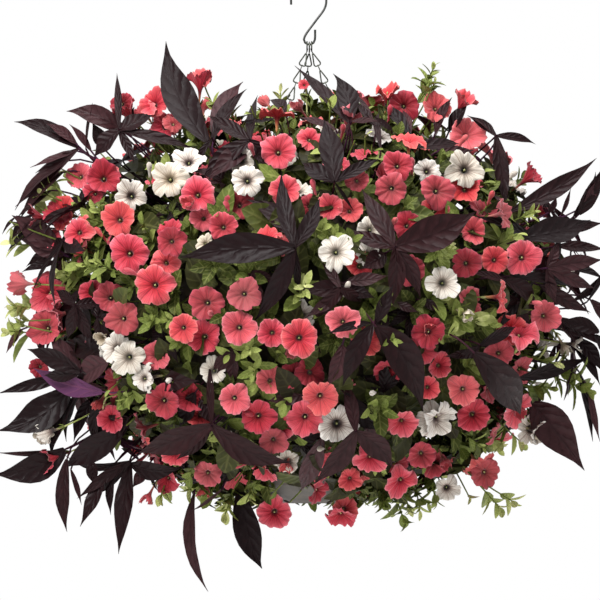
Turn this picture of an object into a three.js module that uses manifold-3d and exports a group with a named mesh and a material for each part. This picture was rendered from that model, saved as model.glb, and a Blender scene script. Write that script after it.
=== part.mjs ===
// Petunia hanging basket: coral and white petunias with dark vine in a hung plastic bowl.
// Millimetres, +Z up, front towards -Y. The origin is the inside top of the hook's upper loop,
// where the basket hangs.
import * as THREE from "three";
import { mergeVertices } from "three/addons/utils/BufferGeometryUtils.js";
import Module from "manifold-3d";

const wasm = await Module();
wasm.setup();

// Driving dimensions of the hung pot
const RIM_Z = -497;
const RIM_R = 178;
const POT_DEPTH = 182;
const POT_WALL = 2.4;
const BOWL_R = 153;
const FLANGE_R = 188;
const FLANGE_T = 3;
const POT_SIDES = 20;
const SOIL_Z = RIM_Z - 10;
const CHAIN_HOLE_R = 3.5;
const CHAIN_HOLE_AT = 182;
const DRAIN_HOLE_R = 5;
const DRAIN_CIRCLE_R = 40;
const CHAIN_ANGLES = { chain_right: -19, chain_back: 101, chain_left: 221 };

// Driving dimensions of the hook and the chains
const HOOK_WIRE_R = 1.7;
const LINK_WIRE_R = 0.95;
const LINK_LENGTH = 18;
const LINK_WIDTH = 8.5;
const CHAIN_PITCHES = 18;
const END_RING_R = 6.2;
const END_RING_INSIDE = 5.1;

// The ball of flowers: half sizes of the shell that the blooms face out from, and of the dense inside
const BALL_CENTRE = new THREE.Vector3(0, 0, -413);
const BALL_HALF = new THREE.Vector3(345, 330, 278);
const CORE_HALF_SIDE = 262;
const CORE_HALF_UP = 168;
const CORE_HALF_DOWN = 226;
const SECTORS = 9;
const GAP = 0.4;

// The front is placed by the 600 x 600 view of the basket: one pixel is 1.3 mm at the ball's middle
const MM_PER_PX = 1.3;
const AXIS_PX = 308.5;
const ORIGIN_PX = -18;

const CORAL = new THREE.Color("#DF5660");
const WHITE = new THREE.Color("#E4DCD0");
const DARK_LEAF = new THREE.Color("#4A353A");
const GREEN_LEAF = new THREE.Color("#556B2C");
const POT_PLASTIC = new THREE.Color("#6E6F62");
const POTTING_MIX = new THREE.Color("#3A2C22");
const WIRE = new THREE.Color("#3C403B");

// Blooms seen from the front: column, row, width across in pixels, turn to the right, lift,
// and how deep they sit behind the others in millimetres
const FRONT_CORAL = [
  [122, 105, 34, -55, 30], [153, 102, 32], [200, 75, 34, 0, 75], [278, 151, 37], [277, 112, 36, 0, 80],
  [104, 177, 32], [60, 212, 36], [80, 230, 32, -40], [118, 219, 38], [128, 253, 42], [154, 285, 40],
  [171, 241, 30], [197, 194, 38], [223, 227, 31], [266, 235, 34, 0, 60],
  [285, 190, 32, 0, 0, 12], [244, 294, 35], [207, 303, 36, 0, 0, 10], [239, 328, 38], [122, 319, 38],
  [46, 294, 36], [45, 325, 38], [15, 283, 34, -100], [30, 215, 30, -50], [183, 328, 30],
  [202, 337, 36, 0, 0, 12], [272, 333, 30], [297, 337, 40], [163, 402, 36],
  [140, 430, 34, -75], [234, 399, 33], [258, 417, 36], [273, 441, 30],
  [305, 418, 38], [175, 455, 28], [207, 475, 30, 0, 0, 10], [274, 514, 36, 0, 15], [45, 460, 32, -50],
  [110, 420, 30, 0, 0, 12], [343, 322, 34], [429, 332, 34], [428, 388, 26], [464, 390, 34],
  [474, 416, 36], [500, 354, 32], [546, 316, 33], [520, 330, 42, 0, 60], [503, 297, 34, 60],
  [320, 398, 38, 0, -12], [402, 424, 34, 0, -22], [422, 455, 30], [370, 460, 34, 0, -18],
  [400, 478, 35], [350, 480, 24], [315, 492, 28, 60], [343, 511, 32, 0, -5], [483, 470, 38, 30, -20],
  [498, 435, 28, 60], [405, 103, 33], [437, 106, 32], [390, 90, 32, 0, 45], [467, 95, 34, 40, 30],
  [409, 138, 36, 0, 60], [468, 133, 38], [398, 165, 32], [357, 180, 26], [390, 190, 34, -20, -25],
  [437, 190, 36], [505, 213, 32, 60], [524, 257, 38], [467, 263, 32], [536, 172, 34, 60, 20],
];
const FRONT_WHITE = [
  [169, 178, 43], [247, 180, 35], [130, 195, 34, 0, 0, 8], [336, 252, 38], [466, 168, 40],
  [443, 283, 36], [128, 358, 36], [143, 380, 32, -60], [337, 425, 42], [440, 420, 40, 40, -20],
  [448, 490, 28], [538, 432, 28, 60], [582, 345, 24, 60], [42, 435, 30, -100], [188, 160, 34, 0, 20, 12],
];

// Dark leaves seen from the front: where the lobes meet, where each lobe ends, and how far the leaf
// stands out in front of the blooms in millimetres
const FRONT_LEAVES = [
  { at: [297, 250], out: 12, tips: [[278, 172], [322, 195], [298, 300], [258, 322], [180, 257]] },
  { at: [332, 183], out: 8, tips: [[300, 155], [318, 112], [380, 153], [352, 208]] },
  { at: [395, 247], out: 14, tips: [[363, 185], [480, 215], [425, 295], [395, 303], [350, 228]] },
  { at: [371, 323], out: 14, tips: [[325, 330], [380, 285], [420, 412], [342, 387]] },
  { at: [213, 425], out: 14, tips: [[208, 365], [290, 475], [177, 467], [133, 460]] },
  { at: [125, 135], out: 34, tips: [[67, 108], [118, 70], [157, 117], [200, 147], [140, 165], [95, 158]] },
  { at: [250, 140], out: 4, tips: [[207, 108], [256, 92], [275, 163], [200, 175]] },
  { at: [212, 138], out: -8, tips: [[164, 40], [242, 80], [190, 168]] },
  { at: [77, 148], out: 4, tips: [[14, 121], [62, 105], [30, 167], [8, 203]] },
  { at: [50, 250], out: 6, tips: [[-8, 215], [62, 225], [40, 290], [14, 262]] },
  { at: [75, 305], out: 6, tips: [[50, 290], [98, 300], [88, 345], [60, 340]] },
  { at: [80, 372], out: 6, tips: [[20, 350], [108, 360], [80, 402], [36, 378]] },
  { at: [62, 420], out: 0, tips: [[-10, 427], [75, 400], [45, 455], [-6, 482]] },
  { at: [130, 462], out: 8, tips: [[57, 468], [117, 555], [65, 533], [78, 505]] },
  { at: [222, 490], out: 6, tips: [[190, 520], [262, 570], [205, 592]] },
  { at: [480, 345], out: 10, tips: [[525, 330], [530, 422], [460, 362]] },
  { at: [525, 400], out: 8, tips: [[592, 372], [593, 440], [585, 470], [512, 440]] },
  { at: [548, 205], out: 4, tips: [[530, 235], [530, 190], [598, 160], [612, 182], [590, 240]] },
  { at: [548, 268], out: 8, tips: [[565, 240], [612, 262], [604, 288], [560, 305]] },
  { at: [497, 135], out: 4, tips: [[507, 205], [470, 112], [540, 137]] },
  { at: [350, 122], out: 4, tips: [[300, 65], [335, 70], [378, 115], [338, 150]] },
  { at: [340, 288], out: 6, tips: [[322, 262], [362, 303], [310, 318]] },
  { at: [352, 432], out: 10, tips: [[345, 385], [392, 472], [312, 490]] },
];
const LOBE_HALF_WIDTH = 0.17;
const LEAF_THICKNESS = 1;

// Shares of a bloom's radius: how far its rim dips between the lobes, how deep the throat sinks
// and how deep the tube begins
const RIM_DIP = 0.84;
const THROAT_DEPTH = 0.36;
const TUBE_DEPTH = 0.56;
const TUBE_R = 0.2;

// Shares of a lobe's length: where it is widest and how far out the notch beside it lies
const LOBE_WIDEST = 0.42;
const NOTCH_REACH = 0.2;

// How far the front's blooms and leaves turn from straight out of the ball to straight ahead
const BLOOMS_TO_FRONT = 0.62;
const LEAVES_TO_FRONT = 0.6;

// Turn from one place to the next that spreads places evenly round the ball
const GOLDEN_TURN = Math.PI * (3 - Math.sqrt(5));

// How many are set by rule behind, beside and over the front
const RULED_CORAL = 43;
const RULED_WHITE = 13;
const RULED_LEAVES = 17;
const CORAL_BUNCHES = 20;
const WHITE_BUNCHES = 12;
const VINES = 12;
const SMALL_LEAVES_PER_SECTOR = 12;
const SPRIGS_PER_SECTOR = 1;

const UP = new THREE.Vector3(0, 0, 1);
const FRONT = new THREE.Vector3(0, -1, 0);

function vec(x, y, z) {
  return new THREE.Vector3(x, y, z);
}

function along(from, direction, length) {
  return from.clone().addScaledVector(direction, length);
}

function radians(degrees) {
  return THREE.MathUtils.degToRad(degrees);
}

// A seeded stream of numbers from 0 to 1
function randomFrom(seed) {
  let state = seed;
  return () => {
    state = (Math.imul(state, 1664525) + 1013904223) >>> 0;
    return state / 4294967296;
  };
}

function manifoldOf(points, triangles) {
  const vertProperties = new Float32Array(points.flatMap((p) => [p.x, p.y, p.z]));
  const triVerts = new Uint32Array(triangles.flat());
  return new wasm.Manifold(new wasm.Mesh({ numProp: 3, vertProperties, triVerts }));
}

// A solid with its faces pointing out, whichever way round they were listed
function solidOf(points, triangles) {
  const solid = manifoldOf(points, triangles);
  return solid.volume() > 0 ? solid : manifoldOf(points, triangles.map(([a, b, c]) => [a, c, b]));
}

// Corners nearer than this are one corner, so that no two of a mesh all but coincide
const SHORTEST_EDGE = 0.01;

// One corner where several coincide, and no triangles left that this flattens
function welded(geometry) {
  geometry.deleteAttribute("normal");
  geometry.deleteAttribute("uv");
  const merged = mergeVertices(geometry, SHORTEST_EDGE);
  const index = merged.index.array;
  const triangles = [];
  for (let i = 0; i < index.length; i += 3) {
    const corner = [index[i], index[i + 1], index[i + 2]];
    if (new Set(corner).size === 3) triangles.push(corner);
  }
  merged.setIndex(triangles.flat());
  return { merged, triangles };
}

// A closed three.js geometry as a solid, without the flat triangles that meet on an axis
function solidFrom(geometry) {
  const { merged, triangles } = welded(geometry);
  const place = merged.attributes.position;
  const points = Array.from({ length: place.count }, (_, i) => vec().fromBufferAttribute(place, i));
  return solidOf(points, triangles);
}

function meshOf(name, solid, color, roughness, metalness = 0) {
  const { vertProperties, triVerts } = solid.getMesh();
  const geometry = new THREE.BufferGeometry();
  geometry.setAttribute("position", new THREE.BufferAttribute(new Float32Array(vertProperties), 3));
  geometry.setIndex(new THREE.BufferAttribute(new Uint32Array(triVerts), 1));
  const { merged } = welded(geometry);
  merged.computeVertexNormals();
  const mesh = new THREE.Mesh(merged, new THREE.MeshStandardMaterial({ color, roughness, metalness }));
  mesh.name = name;
  return mesh;
}

function union(solids) {
  return solids.reduce((sum, solid) => sum.add(solid));
}

function largestBody(solid) {
  const bodies = solid.decompose();
  return bodies.reduce((best, body) => (body.volume() > best.volume() ? body : best));
}

// Solids that already stand in the basket, each with its box for a quick first test
const standing = [];

function stand(solid, group) {
  const box = solid.boundingBox();
  standing.push({ solid, group, min: box.min, max: box.max });
}

function boxesMeet(a, b) {
  return [0, 1, 2].every((axis) => a.min[axis] <= b.max[axis] && b.min[axis] <= a.max[axis]);
}

function isClear(solid, ownGroup) {
  const box = solid.boundingBox();
  return standing.every((other) => {
    if (other.group === ownGroup || !boxesMeet(box, other)) return true;
    return solid.intersect(other.solid).isEmpty();
  });
}

// A bar with few sides through a row of points, with a radius at each
function bar(points, radii, sides = 3) {
  const heading = points[points.length - 1].clone().sub(points[0]).normalize();
  const across = Math.abs(heading.z) > 0.9 ? vec(1, 0, 0) : UP;
  const side = vec().crossVectors(heading, across).normalize();
  const over = vec().crossVectors(heading, side);
  const rings = points.map((p, i) => ring(p, side, over, radii[i], sides));
  return loft(rings);
}

function ring(centre, side, over, radius, sides) {
  return Array.from({ length: sides }, (_, i) => {
    const turn = (2 * Math.PI * i) / sides;
    return along(along(centre, side, radius * Math.cos(turn)), over, radius * Math.sin(turn));
  });
}

// Rings with like numbers of points, joined one to the next and closed at both ends
function loft(rings) {
  const sides = rings[0].length;
  const triangles = [];
  for (let r = 0; r + 1 < rings.length; r += 1) {
    for (let i = 0; i < sides; i += 1) {
      const a = r * sides + i;
      const b = r * sides + ((i + 1) % sides);
      triangles.push([a, b, b + sides], [a, b + sides, a + sides]);
    }
  }
  const last = (rings.length - 1) * sides;
  for (let i = 1; i + 1 < sides; i += 1) triangles.push([0, i + 1, i], [last, last + i, last + i + 1]);
  return solidOf(rings.flat(), triangles);
}

// The pot: a round-bottomed bowl with a low step near its base, a flange, chain holes and drain holes
function bowlRadius(height) {
  const ball = Math.sqrt(Math.max(0, 2 * BOWL_R * height - height * height));
  const blend = THREE.MathUtils.smoothstep(height, 50, POT_DEPTH);
  return ball + (RIM_R - ball) * blend;
}

function potProfile() {
  const base = RIM_Z - POT_DEPTH;
  const heights = [10, 24, 50, 90, 134];
  const outer = heights.map((h) => new THREE.Vector2(bowlRadius(h), base + h));
  const inner = heights.map((h) => new THREE.Vector2(bowlRadius(h) - POT_WALL, base + h + 1)).reverse();
  return [
    new THREE.Vector2(0, base + 1.5), new THREE.Vector2(34, base + 1.5), new THREE.Vector2(36, base),
    new THREE.Vector2(44, base + 4), ...outer,
    new THREE.Vector2(RIM_R, RIM_Z - FLANGE_T), new THREE.Vector2(FLANGE_R, RIM_Z - FLANGE_T),
    new THREE.Vector2(FLANGE_R, RIM_Z), new THREE.Vector2(RIM_R - POT_WALL, RIM_Z),
    ...inner, new THREE.Vector2(0, base + 5.5),
  ];
}

function upright(x, y, z, radius, height) {
  const cylinder = new THREE.CylinderGeometry(radius, radius, height, 6);
  cylinder.rotateX(Math.PI / 2);
  cylinder.translate(x, y, z);
  return solidFrom(cylinder);
}

function latheSolid(profile) {
  const geometry = new THREE.LatheGeometry(profile, POT_SIDES);
  return solidFrom(geometry.rotateX(Math.PI / 2));
}

function pot() {
  let solid = latheSolid(potProfile());
  for (const degrees of Object.values(CHAIN_ANGLES)) {
    const turn = radians(degrees);
    const x = CHAIN_HOLE_AT * Math.cos(turn);
    const y = CHAIN_HOLE_AT * Math.sin(turn);
    solid = solid.subtract(upright(x, y, RIM_Z - FLANGE_T / 2, CHAIN_HOLE_R, 3 * FLANGE_T));
  }
  for (let i = 0; i < 4; i += 1) {
    const turn = radians(45 + 90 * i);
    const x = DRAIN_CIRCLE_R * Math.cos(turn);
    const y = DRAIN_CIRCLE_R * Math.sin(turn);
    solid = solid.subtract(upright(x, y, RIM_Z - POT_DEPTH + 4, DRAIN_HOLE_R, 16));
  }
  return solid;
}

function soil() {
  const base = RIM_Z - POT_DEPTH;
  const inset = POT_WALL + 2 * GAP;
  const heights = [24, 50, 90, 134];
  const side = heights.map((h) => new THREE.Vector2(bowlRadius(h) - inset, base + h + 1.4));
  const top = new THREE.Vector2(bowlRadius(POT_DEPTH - 10) - inset - 1, SOIL_Z);
  const floorEdge = new THREE.Vector2(bowlRadius(13) - inset - 6, base + 14.5);
  const floor = [new THREE.Vector2(0, base + 13), floorEdge];
  return latheSolid([...floor, ...side, top, new THREE.Vector2(0, SOIL_Z)]);
}

// The hook: a large open loop above and a small one below, of one bent wire
const LOOP_R = 23.4;
const LOOP_CENTRE = vec(0, 0, -LOOP_R + HOOK_WIRE_R);
const SMALL_LOOP_R = 7.2;
const SMALL_LOOP_CENTRE = vec(1.2, 0, -72.4);
const HOOK_BETWEEN = [vec(21.2, 0, -32.2), vec(8.4, 0, -50), vec(-3.4, 0, -66.3)];
const HOOK_END = vec(8.7, 0, -60);

function onCircle(centre, radius, degrees) {
  const turn = radians(degrees);
  return vec(centre.x + radius * Math.cos(turn), 0, centre.z + radius * Math.sin(turn));
}

function hook() {
  const upper = [194, 160, 125, 90, 55, 20, -5].map((a) => onCircle(LOOP_CENTRE, LOOP_R, a));
  const lower = [180, 215, 250, 290, 325, 355].map((a) => onCircle(SMALL_LOOP_CENTRE, SMALL_LOOP_R, a));
  const points = [...upper, ...HOOK_BETWEEN, ...lower, HOOK_END];
  const path = new THREE.CatmullRomCurve3(points, false, "centripetal");
  const section = new THREE.Shape(ring(vec(0, 0, 0), vec(1, 0, 0), vec(0, 1, 0), HOOK_WIRE_R, 6));
  const wire = new THREE.ExtrudeGeometry(section, { extrudePath: path, steps: 40 });
  return solidFrom(wire);
}

// A wire bent to a closed outline that lies in the plane of two directions
function wireRing(centre, outline, side, over, radius) {
  const normal = vec().crossVectors(side, over);
  const count = outline.length;
  const points = [];
  outline.forEach(([x, y]) => {
    const middle = along(along(centre, side, x), over, y);
    const out = vec().addScaledVector(side, x).addScaledVector(over, y).normalize();
    points.push(along(middle, out, radius));
    points.push(along(along(middle, out, -radius * 0.6), normal, radius));
    points.push(along(along(middle, out, -radius * 0.6), normal, -radius));
  });
  const triangles = [];
  for (let i = 0; i < count; i += 1) {
    for (let k = 0; k < 3; k += 1) {
      const a = 3 * i + k;
      const b = 3 * i + ((k + 1) % 3);
      const c = 3 * ((i + 1) % count) + k;
      const d = 3 * ((i + 1) % count) + ((k + 1) % 3);
      triangles.push([a, d, b], [a, c, d]);
    }
  }
  return solidOf(points, triangles);
}

function circleOutline(radius, sides) {
  return Array.from({ length: sides }, (_, i) => {
    const turn = (2 * Math.PI * (i + 0.5)) / sides;
    return [radius * Math.cos(turn), radius * Math.sin(turn)];
  });
}

// One flat run of links: eyes that are narrow above and wide below, joined by short cross links
function linkRun(length) {
  const pitch = length / CHAIN_PITCHES;
  const wide = LINK_WIDTH / 2;
  const right = [];
  const holes = [];
  for (let i = 0; i < CHAIN_PITCHES; i += 1) {
    const top = i * pitch + (pitch - LINK_LENGTH) / 2;
    right.push([LINK_WIRE_R, top], [wide, top + 0.8 * LINK_LENGTH], [LINK_WIRE_R, top + LINK_LENGTH]);
    const inner = wide - 1.9 * LINK_WIRE_R;
    const low = top + 0.82 * LINK_LENGTH;
    const eye = [[0, top + 2.6], [inner, low], [-inner, low]];
    holes.push(new THREE.Path(eye.map(([x, y]) => new THREE.Vector2(x, y))));
  }
  const side = [[LINK_WIRE_R, 0], ...right, [LINK_WIRE_R, length]];
  const left = side.map(([x, y]) => [-x, y]).reverse();
  const shape = new THREE.Shape([...side, ...left].map(([x, y]) => new THREE.Vector2(x, y)));
  shape.holes = holes;
  const run = new THREE.ExtrudeGeometry(shape, { depth: 2 * LINK_WIRE_R, bevelEnabled: false });
  return run.translate(0, 0, -LINK_WIRE_R);
}

function chain(degrees, hookShift) {
  const out = vec(Math.cos(radians(degrees)), Math.sin(radians(degrees)), 0);
  const hookDrop = Math.sqrt(SMALL_LOOP_R ** 2 - hookShift ** 2);
  const hookWire = vec(hookShift, 0, -hookDrop).add(SMALL_LOOP_CENTRE);
  const topRing = along(hookWire, UP, HOOK_WIRE_R + 2.4 * GAP - END_RING_INSIDE);
  const strip = (CHAIN_HOLE_AT + CHAIN_HOLE_R + FLANGE_R) / 2;
  const rimRing = along(out.clone().multiplyScalar(strip), UP, RIM_Z - FLANGE_T - GAP + END_RING_INSIDE);
  const start = along(topRing, UP, -END_RING_R + 0.4);
  const end = along(rimRing, UP, END_RING_R - 0.4);
  const down = end.clone().sub(start);
  const run = linkRun(down.length());
  down.normalize();
  const across = vec().crossVectors(down, vec(0, 1, 0)).normalize();
  run.applyMatrix4(new THREE.Matrix4().makeBasis(across, down, vec().crossVectors(across, down)));
  run.translate(start.x, start.y, start.z);
  return union([
    solidFrom(run),
    wireRing(topRing, circleOutline(END_RING_R, 8), vec(0, 1, 0), UP, LINK_WIRE_R),
    wireRing(rimRing, circleOutline(END_RING_R, 8), out, UP, LINK_WIRE_R),
  ]);
}

// Places on the ball
function fromView([column, row]) {
  return vec((column - AXIS_PX) * MM_PER_PX, 0, (ORIGIN_PX - row) * MM_PER_PX);
}

function shellDepth(place) {
  const x = (place.x - BALL_CENTRE.x) / BALL_HALF.x;
  const z = (place.z - BALL_CENTRE.z) / BALL_HALF.z;
  return -BALL_HALF.y * Math.sqrt(Math.max(0.03, 1 - x * x - z * z));
}

function outwardAt(place) {
  return place.clone().sub(BALL_CENTRE).divide(BALL_HALF).divide(BALL_HALF).normalize();
}

function turned(direction, turn, lift) {
  const level = vec(-direction.y, direction.x, 0).normalize();
  const lifted = direction.clone().applyAxisAngle(level, -radians(lift));
  return lifted.applyAxisAngle(UP, radians(turn));
}

function coreRadii(elevation) {
  const tall = elevation > 0 ? CORE_HALF_UP : CORE_HALF_DOWN;
  return { r: CORE_HALF_SIDE * Math.cos(elevation), z: BALL_CENTRE.z + tall * Math.sin(elevation) };
}

function onCore(azimuth, elevation) {
  const { r, z } = coreRadii(elevation);
  return vec(r * Math.cos(azimuth), r * Math.sin(azimuth), z);
}

function coreNormal(azimuth, elevation) {
  const tall = elevation > 0 ? CORE_HALF_UP : CORE_HALF_DOWN;
  const side = Math.cos(elevation) / CORE_HALF_SIDE;
  return vec(side * Math.cos(azimuth), side * Math.sin(azimuth), Math.sin(elevation) / tall).normalize();
}

// Directions spread evenly round the ball, between two heights of its unit sphere
function spread(count, low, high, turn) {
  return Array.from({ length: count }, (_, i) => {
    const height = high - ((i + 0.5) / count) * (high - low);
    return { azimuth: turn + i * GOLDEN_TURN, elevation: Math.asin(height) };
  });
}

// Foliage core: one sector of the dense inside, which sits on the soil and hangs over the rim
function coreProfile() {
  const outer = [86, 58, 35, 13, -9, -32, -56].map((degrees) => {
    const { r, z } = coreRadii(radians(degrees));
    return new THREE.Vector2(r, z);
  });
  const base = RIM_Z - POT_DEPTH;
  const beside = [76, 108, 140].map((h) => new THREE.Vector2(bowlRadius(h) + 5, base + h));
  return [
    ...outer, ...beside,
    new THREE.Vector2(FLANGE_R + 5, RIM_Z - 12), new THREE.Vector2(FLANGE_R + 5, RIM_Z + 8),
    new THREE.Vector2(RIM_R - 14, RIM_Z + 6), new THREE.Vector2(RIM_R - 16, SOIL_Z + GAP),
    new THREE.Vector2(outer[0].x, SOIL_Z + GAP),
  ];
}

function coreSector(from, to) {
  const profile = coreProfile();
  const steps = 2;
  const rings = Array.from({ length: steps + 1 }, (_, i) => {
    const turn = from + ((to - from) * i) / steps;
    return profile.map((p) => vec(p.x * Math.cos(turn), p.x * Math.sin(turn), p.y));
  });
  const count = profile.length;
  const triangles = [];
  for (let s = 0; s < steps; s += 1) {
    for (let i = 0; i < count; i += 1) {
      const a = s * count + i;
      const b = s * count + ((i + 1) % count);
      triangles.push([a, b, b + count], [a, b + count, a + count]);
    }
  }
  const last = steps * count;
  const direction = Math.sign(THREE.ShapeUtils.area(profile));
  THREE.ShapeUtils.triangulateShape(profile, []).forEach((cap) => {
    const turns = Math.sign(THREE.ShapeUtils.area(cap.map((i) => profile[i])));
    const [a, b, c] = turns === direction ? cap : [...cap].reverse();
    triangles.push([a, c, b], [last + a, last + b, last + c]);
  });
  return solidOf(rings.flat(), triangles);
}

// A thin upright wall from the axis outwards, to part two sectors
function partingWall(azimuth, thickness) {
  const wall = new THREE.BoxGeometry(420, thickness, 560);
  wall.translate(200, 0, BALL_CENTRE.z);
  wall.rotateZ(azimuth);
  return solidFrom(wall);
}

// A petunia: five broad lobes, a sunk throat, and a tube that runs back as the stalk to its bunch
function bloom(face, axis, radius, root, grow = 0) {
  const back = root.clone().sub(face).normalize();
  const side = vec().crossVectors(axis, back);
  if (side.lengthSq() < 0.01) side.crossVectors(axis, Math.abs(axis.z) > 0.8 ? vec(1, 0, 0) : UP);
  side.normalize();
  const over = vec().crossVectors(axis, side);
  const rim = [];
  for (let i = 0; i < 10; i += 1) {
    const reach = (i % 2 === 0 ? radius : radius * RIM_DIP) + grow;
    const turn = (Math.PI * i) / 5;
    const lift = i % 2 === 0 ? -0.05 * radius : 0.03 * radius;
    const level = along(face, axis, lift);
    rim.push(along(along(level, side, reach * Math.cos(turn)), over, reach * Math.sin(turn)));
  }
  const throat = along(face, axis, -THROAT_DEPTH * radius + grow);
  const tube = along(face, axis, -TUBE_DEPTH * radius);
  const neck = ring(tube, side, over, TUBE_R * radius + 2 * grow, 3);
  return solidOf([throat, ...rim, ...neck, along(root, back, grow)], bloomTriangles());
}

function bloomTriangles() {
  const triangles = [];
  const neckOf = (i) => 11 + (Math.round((i + 0.5) * 0.3) % 3);
  for (let i = 0; i < 10; i += 1) {
    const a = 1 + i;
    const b = 1 + ((i + 1) % 10);
    triangles.push([0, a, b], [b, a, neckOf(i)]);
    if (neckOf(i) !== neckOf(i + 1)) triangles.push([b, neckOf(i), neckOf(i + 1)]);
  }
  triangles.push(...stalkTriangles(11));
  return triangles;
}

// A palmate leaf: lobes folded up along their midribs round the point where they meet, with sharp
// tips and sinuses, and a stalk that runs back from under that point to its vine
function palmate(centre, normal, tips, halfWidth, root, grow = 0) {
  const sorted = inTurn(centre, normal, tips);
  const outline = sorted.flatMap((tip, i) => lobeOutline(centre, normal, sorted, i, halfWidth));
  const count = outline.length;
  const lift = LEAF_THICKNESS / 2 + grow;
  const edge = outline.map((p, i) => along(p, normal, i % 2 === 0 ? lift : 0));
  const lower = outline.filter((_, i) => i % 2 === 0).map((p) => along(p, normal, -lift));
  const back = root.clone().sub(centre).normalize();
  const side = vec().crossVectors(normal, back);
  if (side.lengthSq() < 0.01) side.crossVectors(normal, UP);
  side.normalize();
  const over = vec().crossVectors(normal, side);
  const neck = ring(along(centre, normal, -3), side, over, 2.6 + 2 * grow, 3);
  const underOf = (i) => (i % 2 === 0 ? 1 + count + i / 2 : 1 + i);
  const neckAt = 1 + count + lower.length;
  const first = nearestOf(neck, outline[0]);
  const neckOf = (i) => neckAt + ((first + Math.floor((3 * i) / count)) % 3);
  const triangles = [];
  for (let i = 0; i < count; i += 1) {
    const next = (i + 1) % count;
    const [a, b] = [1 + i, 1 + next];
    triangles.push([0, a, b], [underOf(next), underOf(i), neckOf(i)]);
    triangles.push(i % 2 === 0 ? [a, underOf(i), b] : [a, underOf(next), b]);
    if (neckOf(i) !== neckOf(next)) triangles.push([underOf(next), neckOf(i), neckOf(next)]);
  }
  triangles.push(...stalkTriangles(neckAt));
  const points = [along(centre, normal, lift), ...edge, ...lower, ...neck, along(root, back, grow)];
  return solidOf(points, triangles);
}

function nearestOf(corners, place) {
  const reach = corners.map((corner) => corner.distanceTo(place));
  return reach.indexOf(Math.min(...reach));
}

// The tips in order round the leaf, against the clock as its face is seen
function inTurn(centre, normal, tips) {
  const side = vec().crossVectors(UP, normal).normalize();
  const over = vec().crossVectors(normal, side);
  const turnOf = (tip) => {
    const rib = tip.clone().sub(centre);
    return Math.atan2(rib.dot(over), rib.dot(side));
  };
  return [...tips].sort((a, b) => turnOf(a) - turnOf(b));
}

function stalkTriangles(neckAt) {
  return [0, 1, 2].map((k) => [neckAt + ((k + 1) % 3), neckAt + k, neckAt + 3]);
}

function lobeOutline(centre, normal, tips, i, halfWidth) {
  const tip = tips[i];
  const next = tips[(i + 1) % tips.length];
  const rib = tip.clone().sub(centre);
  const across = vec().crossVectors(normal, rib).normalize();
  const reach = rib.length();
  const middle = along(along(centre, rib, LOBE_WIDEST), normal, 0.05 * reach);
  const nextRib = next.clone().sub(centre);
  const between = rib.clone().normalize().add(nextRib.clone().normalize());
  const angle = Math.atan2(vec().crossVectors(rib, nextRib).dot(normal), rib.dot(nextRib));
  if (angle <= 0) between.negate();
  if (between.lengthSq() < 0.02) between.copy(across);
  const sinus = along(centre, between.normalize(), NOTCH_REACH * Math.min(reach, nextRib.length()));
  const half = halfWidth * reach;
  return [along(middle, across, -half), tip, along(middle, across, half), sinus];
}

// A small green leaf, keeled along its middle
function smallLeaf(base, direction, face, length, width) {
  const side = vec().crossVectors(direction, face).normalize();
  const middle = along(base, direction, 0.55 * length);
  const keel = along(middle, vec().crossVectors(side, direction), -2.2);
  const points = [base, along(middle, side, width / 2), keel, along(middle, side, -width / 2),
    along(base, direction, length)];
  return solidOf(points, [[0, 1, 2], [0, 2, 3], [0, 3, 1], [4, 2, 1], [4, 3, 2], [4, 1, 3]]);
}

// A bunch: a peg in the foliage with a knob that its stalks fan out from
const SOCKET_DEPTH = 36;
const PEG_R = 3.4;
const KNOB_R = 8;
const HUB_ABOVE_CORE = 15;

function peg(hub, grow = 0) {
  const foot = along(hub.place, hub.normal, -SOCKET_DEPTH - 2 * grow);
  const levels = [foot, along(hub.place, hub.normal, -KNOB_R - grow), hub.place];
  const head = along(hub.place, hub.normal, KNOB_R + grow);
  return bar([...levels, head], [1.6 + grow, PEG_R + grow, KNOB_R + grow, 2 + grow], 4);
}

function makeHubs(name, count, turn) {
  return spread(count, -0.62, 0.93, turn).map(({ azimuth, elevation }, i) => {
    const normal = coreNormal(azimuth, elevation);
    const place = along(onCore(azimuth, elevation), normal, HUB_ABOVE_CORE);
    const number = String(i + 1).padStart(2, "0");
    return { name: name + "_" + number, azimuth, elevation, place, normal, parts: [], cuts: [] };
  });
}

// Moves each peg aside until it stands clear of the chains and the other pegs
function settleHubs(hubs, random) {
  hubs.forEach((hub) => {
    for (let tries = 0; tries < 60 && !isClear(peg(hub, 3), hub.name); tries += 1) {
      const azimuth = hub.azimuth + (random() - 0.5) * 0.3;
      const elevation = THREE.MathUtils.clamp(hub.elevation + (random() - 0.5) * 0.3, -0.7, 1.2);
      hub.normal = coreNormal(azimuth, elevation);
      hub.place = along(onCore(azimuth, elevation), hub.normal, HUB_ABOVE_CORE);
    }
    hub.parts.push(peg(hub));
    hub.cuts.push(peg(hub, GAP));
    stand(peg(hub, 3), hub.name);
  });
}

function nearestHubs(hubs, place) {
  return [...hubs].sort((a, b) => a.place.distanceTo(place) - b.place.distanceTo(place)).slice(0, 4);
}

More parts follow.
